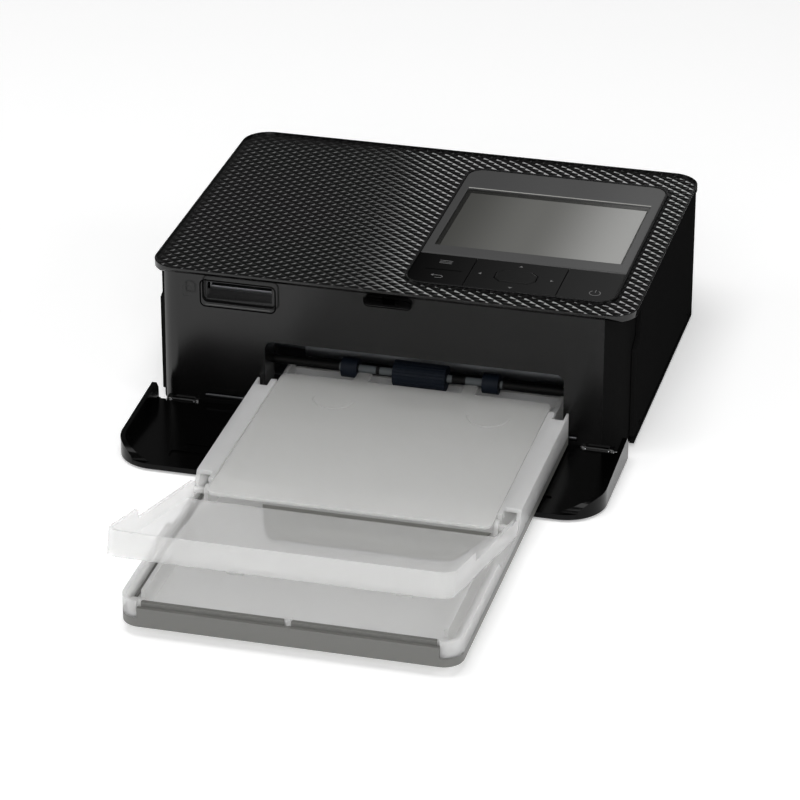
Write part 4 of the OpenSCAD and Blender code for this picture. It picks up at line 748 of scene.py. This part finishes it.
lineHeight = 0.02 * mm
paintedWindowShade = newMaterial("paintedWindowShade", "#000000", {"Roughness": 0.3, "Alpha": 0.35})[0]  # painted shade: a thin half-clear black layer over the screen's edges, inside the window's edge
paintedEdgeHighlight = plainMaterial("paintedEdgeHighlight", "#a8a8a4", 0.2)  # painted highlight: a pale line standing for the window's ground edge where it catches the light
faintInk = plainMaterial("faintInk", "#0c0c0c", 0.5)  # tone-in-tone print beside the card slot
paintedGlint = plainMaterial("paintedGlint", "#505050", 0.25)  # painted highlight: a grey line standing for a rounded edge that catches the light
grooveShadeSettings = {"Roughness": 0.6, "Specular IOR Level": 0.0}
paintedGrooveShade = newMaterial("paintedGrooveShade", "#000000", grooveShadeSettings)[0]  # painted shade: a black line where the shade in a groove or round a recess falls
windowMarks = {  # mm, on the display panel
    "left": 6.3, "right": 77.7, "front": -20.8, "rear": 33.0,
    "shadeLeft": 1.8, "shadeRear": 3.2, "shadeRight": 0.9,
    "edgeLine": 0.8,
    "seam": 0.5, "seamSide": 0.4, "seamFront": 0.35,
    "groove": [(8.3, -42.3), (22.0, -41.8)], "grooveLine": 0.4,
}


def markWindow():
    # painted shade inside the window's edge, a painted highlight on the ground edge at its rear and along the
    # seam over the keys, and painted shade in a key's groove
    m = windowMarks
    x0, x1, y0, y1 = m["left"], m["right"], m["front"], m["rear"]
    shadeFront = y1 - m["shadeRear"]
    # painted shade bands along the window's left, rear and right edges
    bands = [
        rectangle(x0, y0, x0 + m["shadeLeft"], shadeFront),
        rectangle(x0, shadeFront, x1, y1),
        rectangle(x1 - m["shadeRight"], y0, x1, shadeFront),
    ]
    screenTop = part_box("lcd_screen")[1][2]
    attach(flatPiece("windowShade", bands, screenTop, lineHeight, paintedWindowShade), "lcd_screen")
    panelTop = panelHigh[2] - sinking
    # painted highlight along the window's rear edge
    edge = rectangle(x0, y1, x1, y1 + m["edgeLine"])
    attach(flatPiece("windowEdgeHighlight", [edge], panelTop, lineHeight, paintedEdgeHighlight), "display_panel")
    # painted highlight along the panel's seam over the keys
    seamLeft, seamRight = panelLow[0] / mm + m["seamSide"], panelHigh[0] / mm - m["seamSide"]
    seamFront = panelLow[1] / mm + m["seamFront"]
    seam = rectangle(seamLeft, seamFront, seamRight, seamFront + m["seam"])
    attach(flatPiece("panelSeamHighlight", [seam], panelTop, lineHeight, paintedGlint), "display_panel")
    # painted shade in the left key's groove
    groove = strokeOutline(m["groove"], m["grooveLine"])
    attach(flatPiece("keyGrooveShade", [groove], keysHigh[2] - sinking, lineHeight, paintedGrooveShade), "left_key")


markWindow()
print("window marked")

frontMarks = {  # mm, x and z on the front face
    "recess": (-70.9, 43.7, -42.2, 54.3), "recessRadius": 2.0, "recessLine": 0.5,
    "keeper": (-8.6, 51.2, 9.1, 54.6), "keeperRadius": 1.6, "keeperLine": 0.4,
    "lip": [(-69.0, 44.5), (-44.2, 44.5)], "lipLine": 0.28,
    "card": [(-77.5, 47.1), (-74.1, 47.1), (-74.1, 50.3), (-75.1, 51.2), (-77.5, 51.2), (-77.5, 47.1)],
    "cardLine": 0.26,
}


def roundedPath(box, radius):
    low, high = (box[0] + radius, box[1] + radius), (box[2] - radius, box[3] - radius)
    middles = (high, (low[0], high[1]), low, (high[0], low[1]))
    path = []
    for corner, (x, z) in enumerate(middles):
        path += arcPoints(x, z, radius, 90 * corner, 90 * corner + 90, 8)
    return path + [path[0]]


def frontLine(name, path, width, material):
    # a thin line on the bezel's face, drawn flat and then stood upright
    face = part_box("front_bezel")[0][1]
    piece = flatPiece(name, [strokeOutline(path, width)], 0.0, lineHeight, material)
    for corner in piece.data.vertices:
        x, z, depth = corner.co
        corner.co = (x, face - depth + sinking, z)
    attach(piece, "front_bezel")


def markFront():
    m = frontMarks
    # painted shade round the card recess and round the keeper
    frontLine("recessEdgeShade", roundedPath(m["recess"], m["recessRadius"]), m["recessLine"], paintedGrooveShade)
    frontLine("keeperEdgeShade", roundedPath(m["keeper"], m["keeperRadius"]), m["keeperLine"], paintedGrooveShade)
    # painted highlight on the card recess's lower lip
    frontLine("recessLipHighlight", m["lip"], m["lipLine"], paintedGlint)
    frontLine("cardSign", m["card"], m["cardLine"], faintInk)


markFront()
print("front marked")

bpy.context.scene.view_settings.view_transform = "Standard"
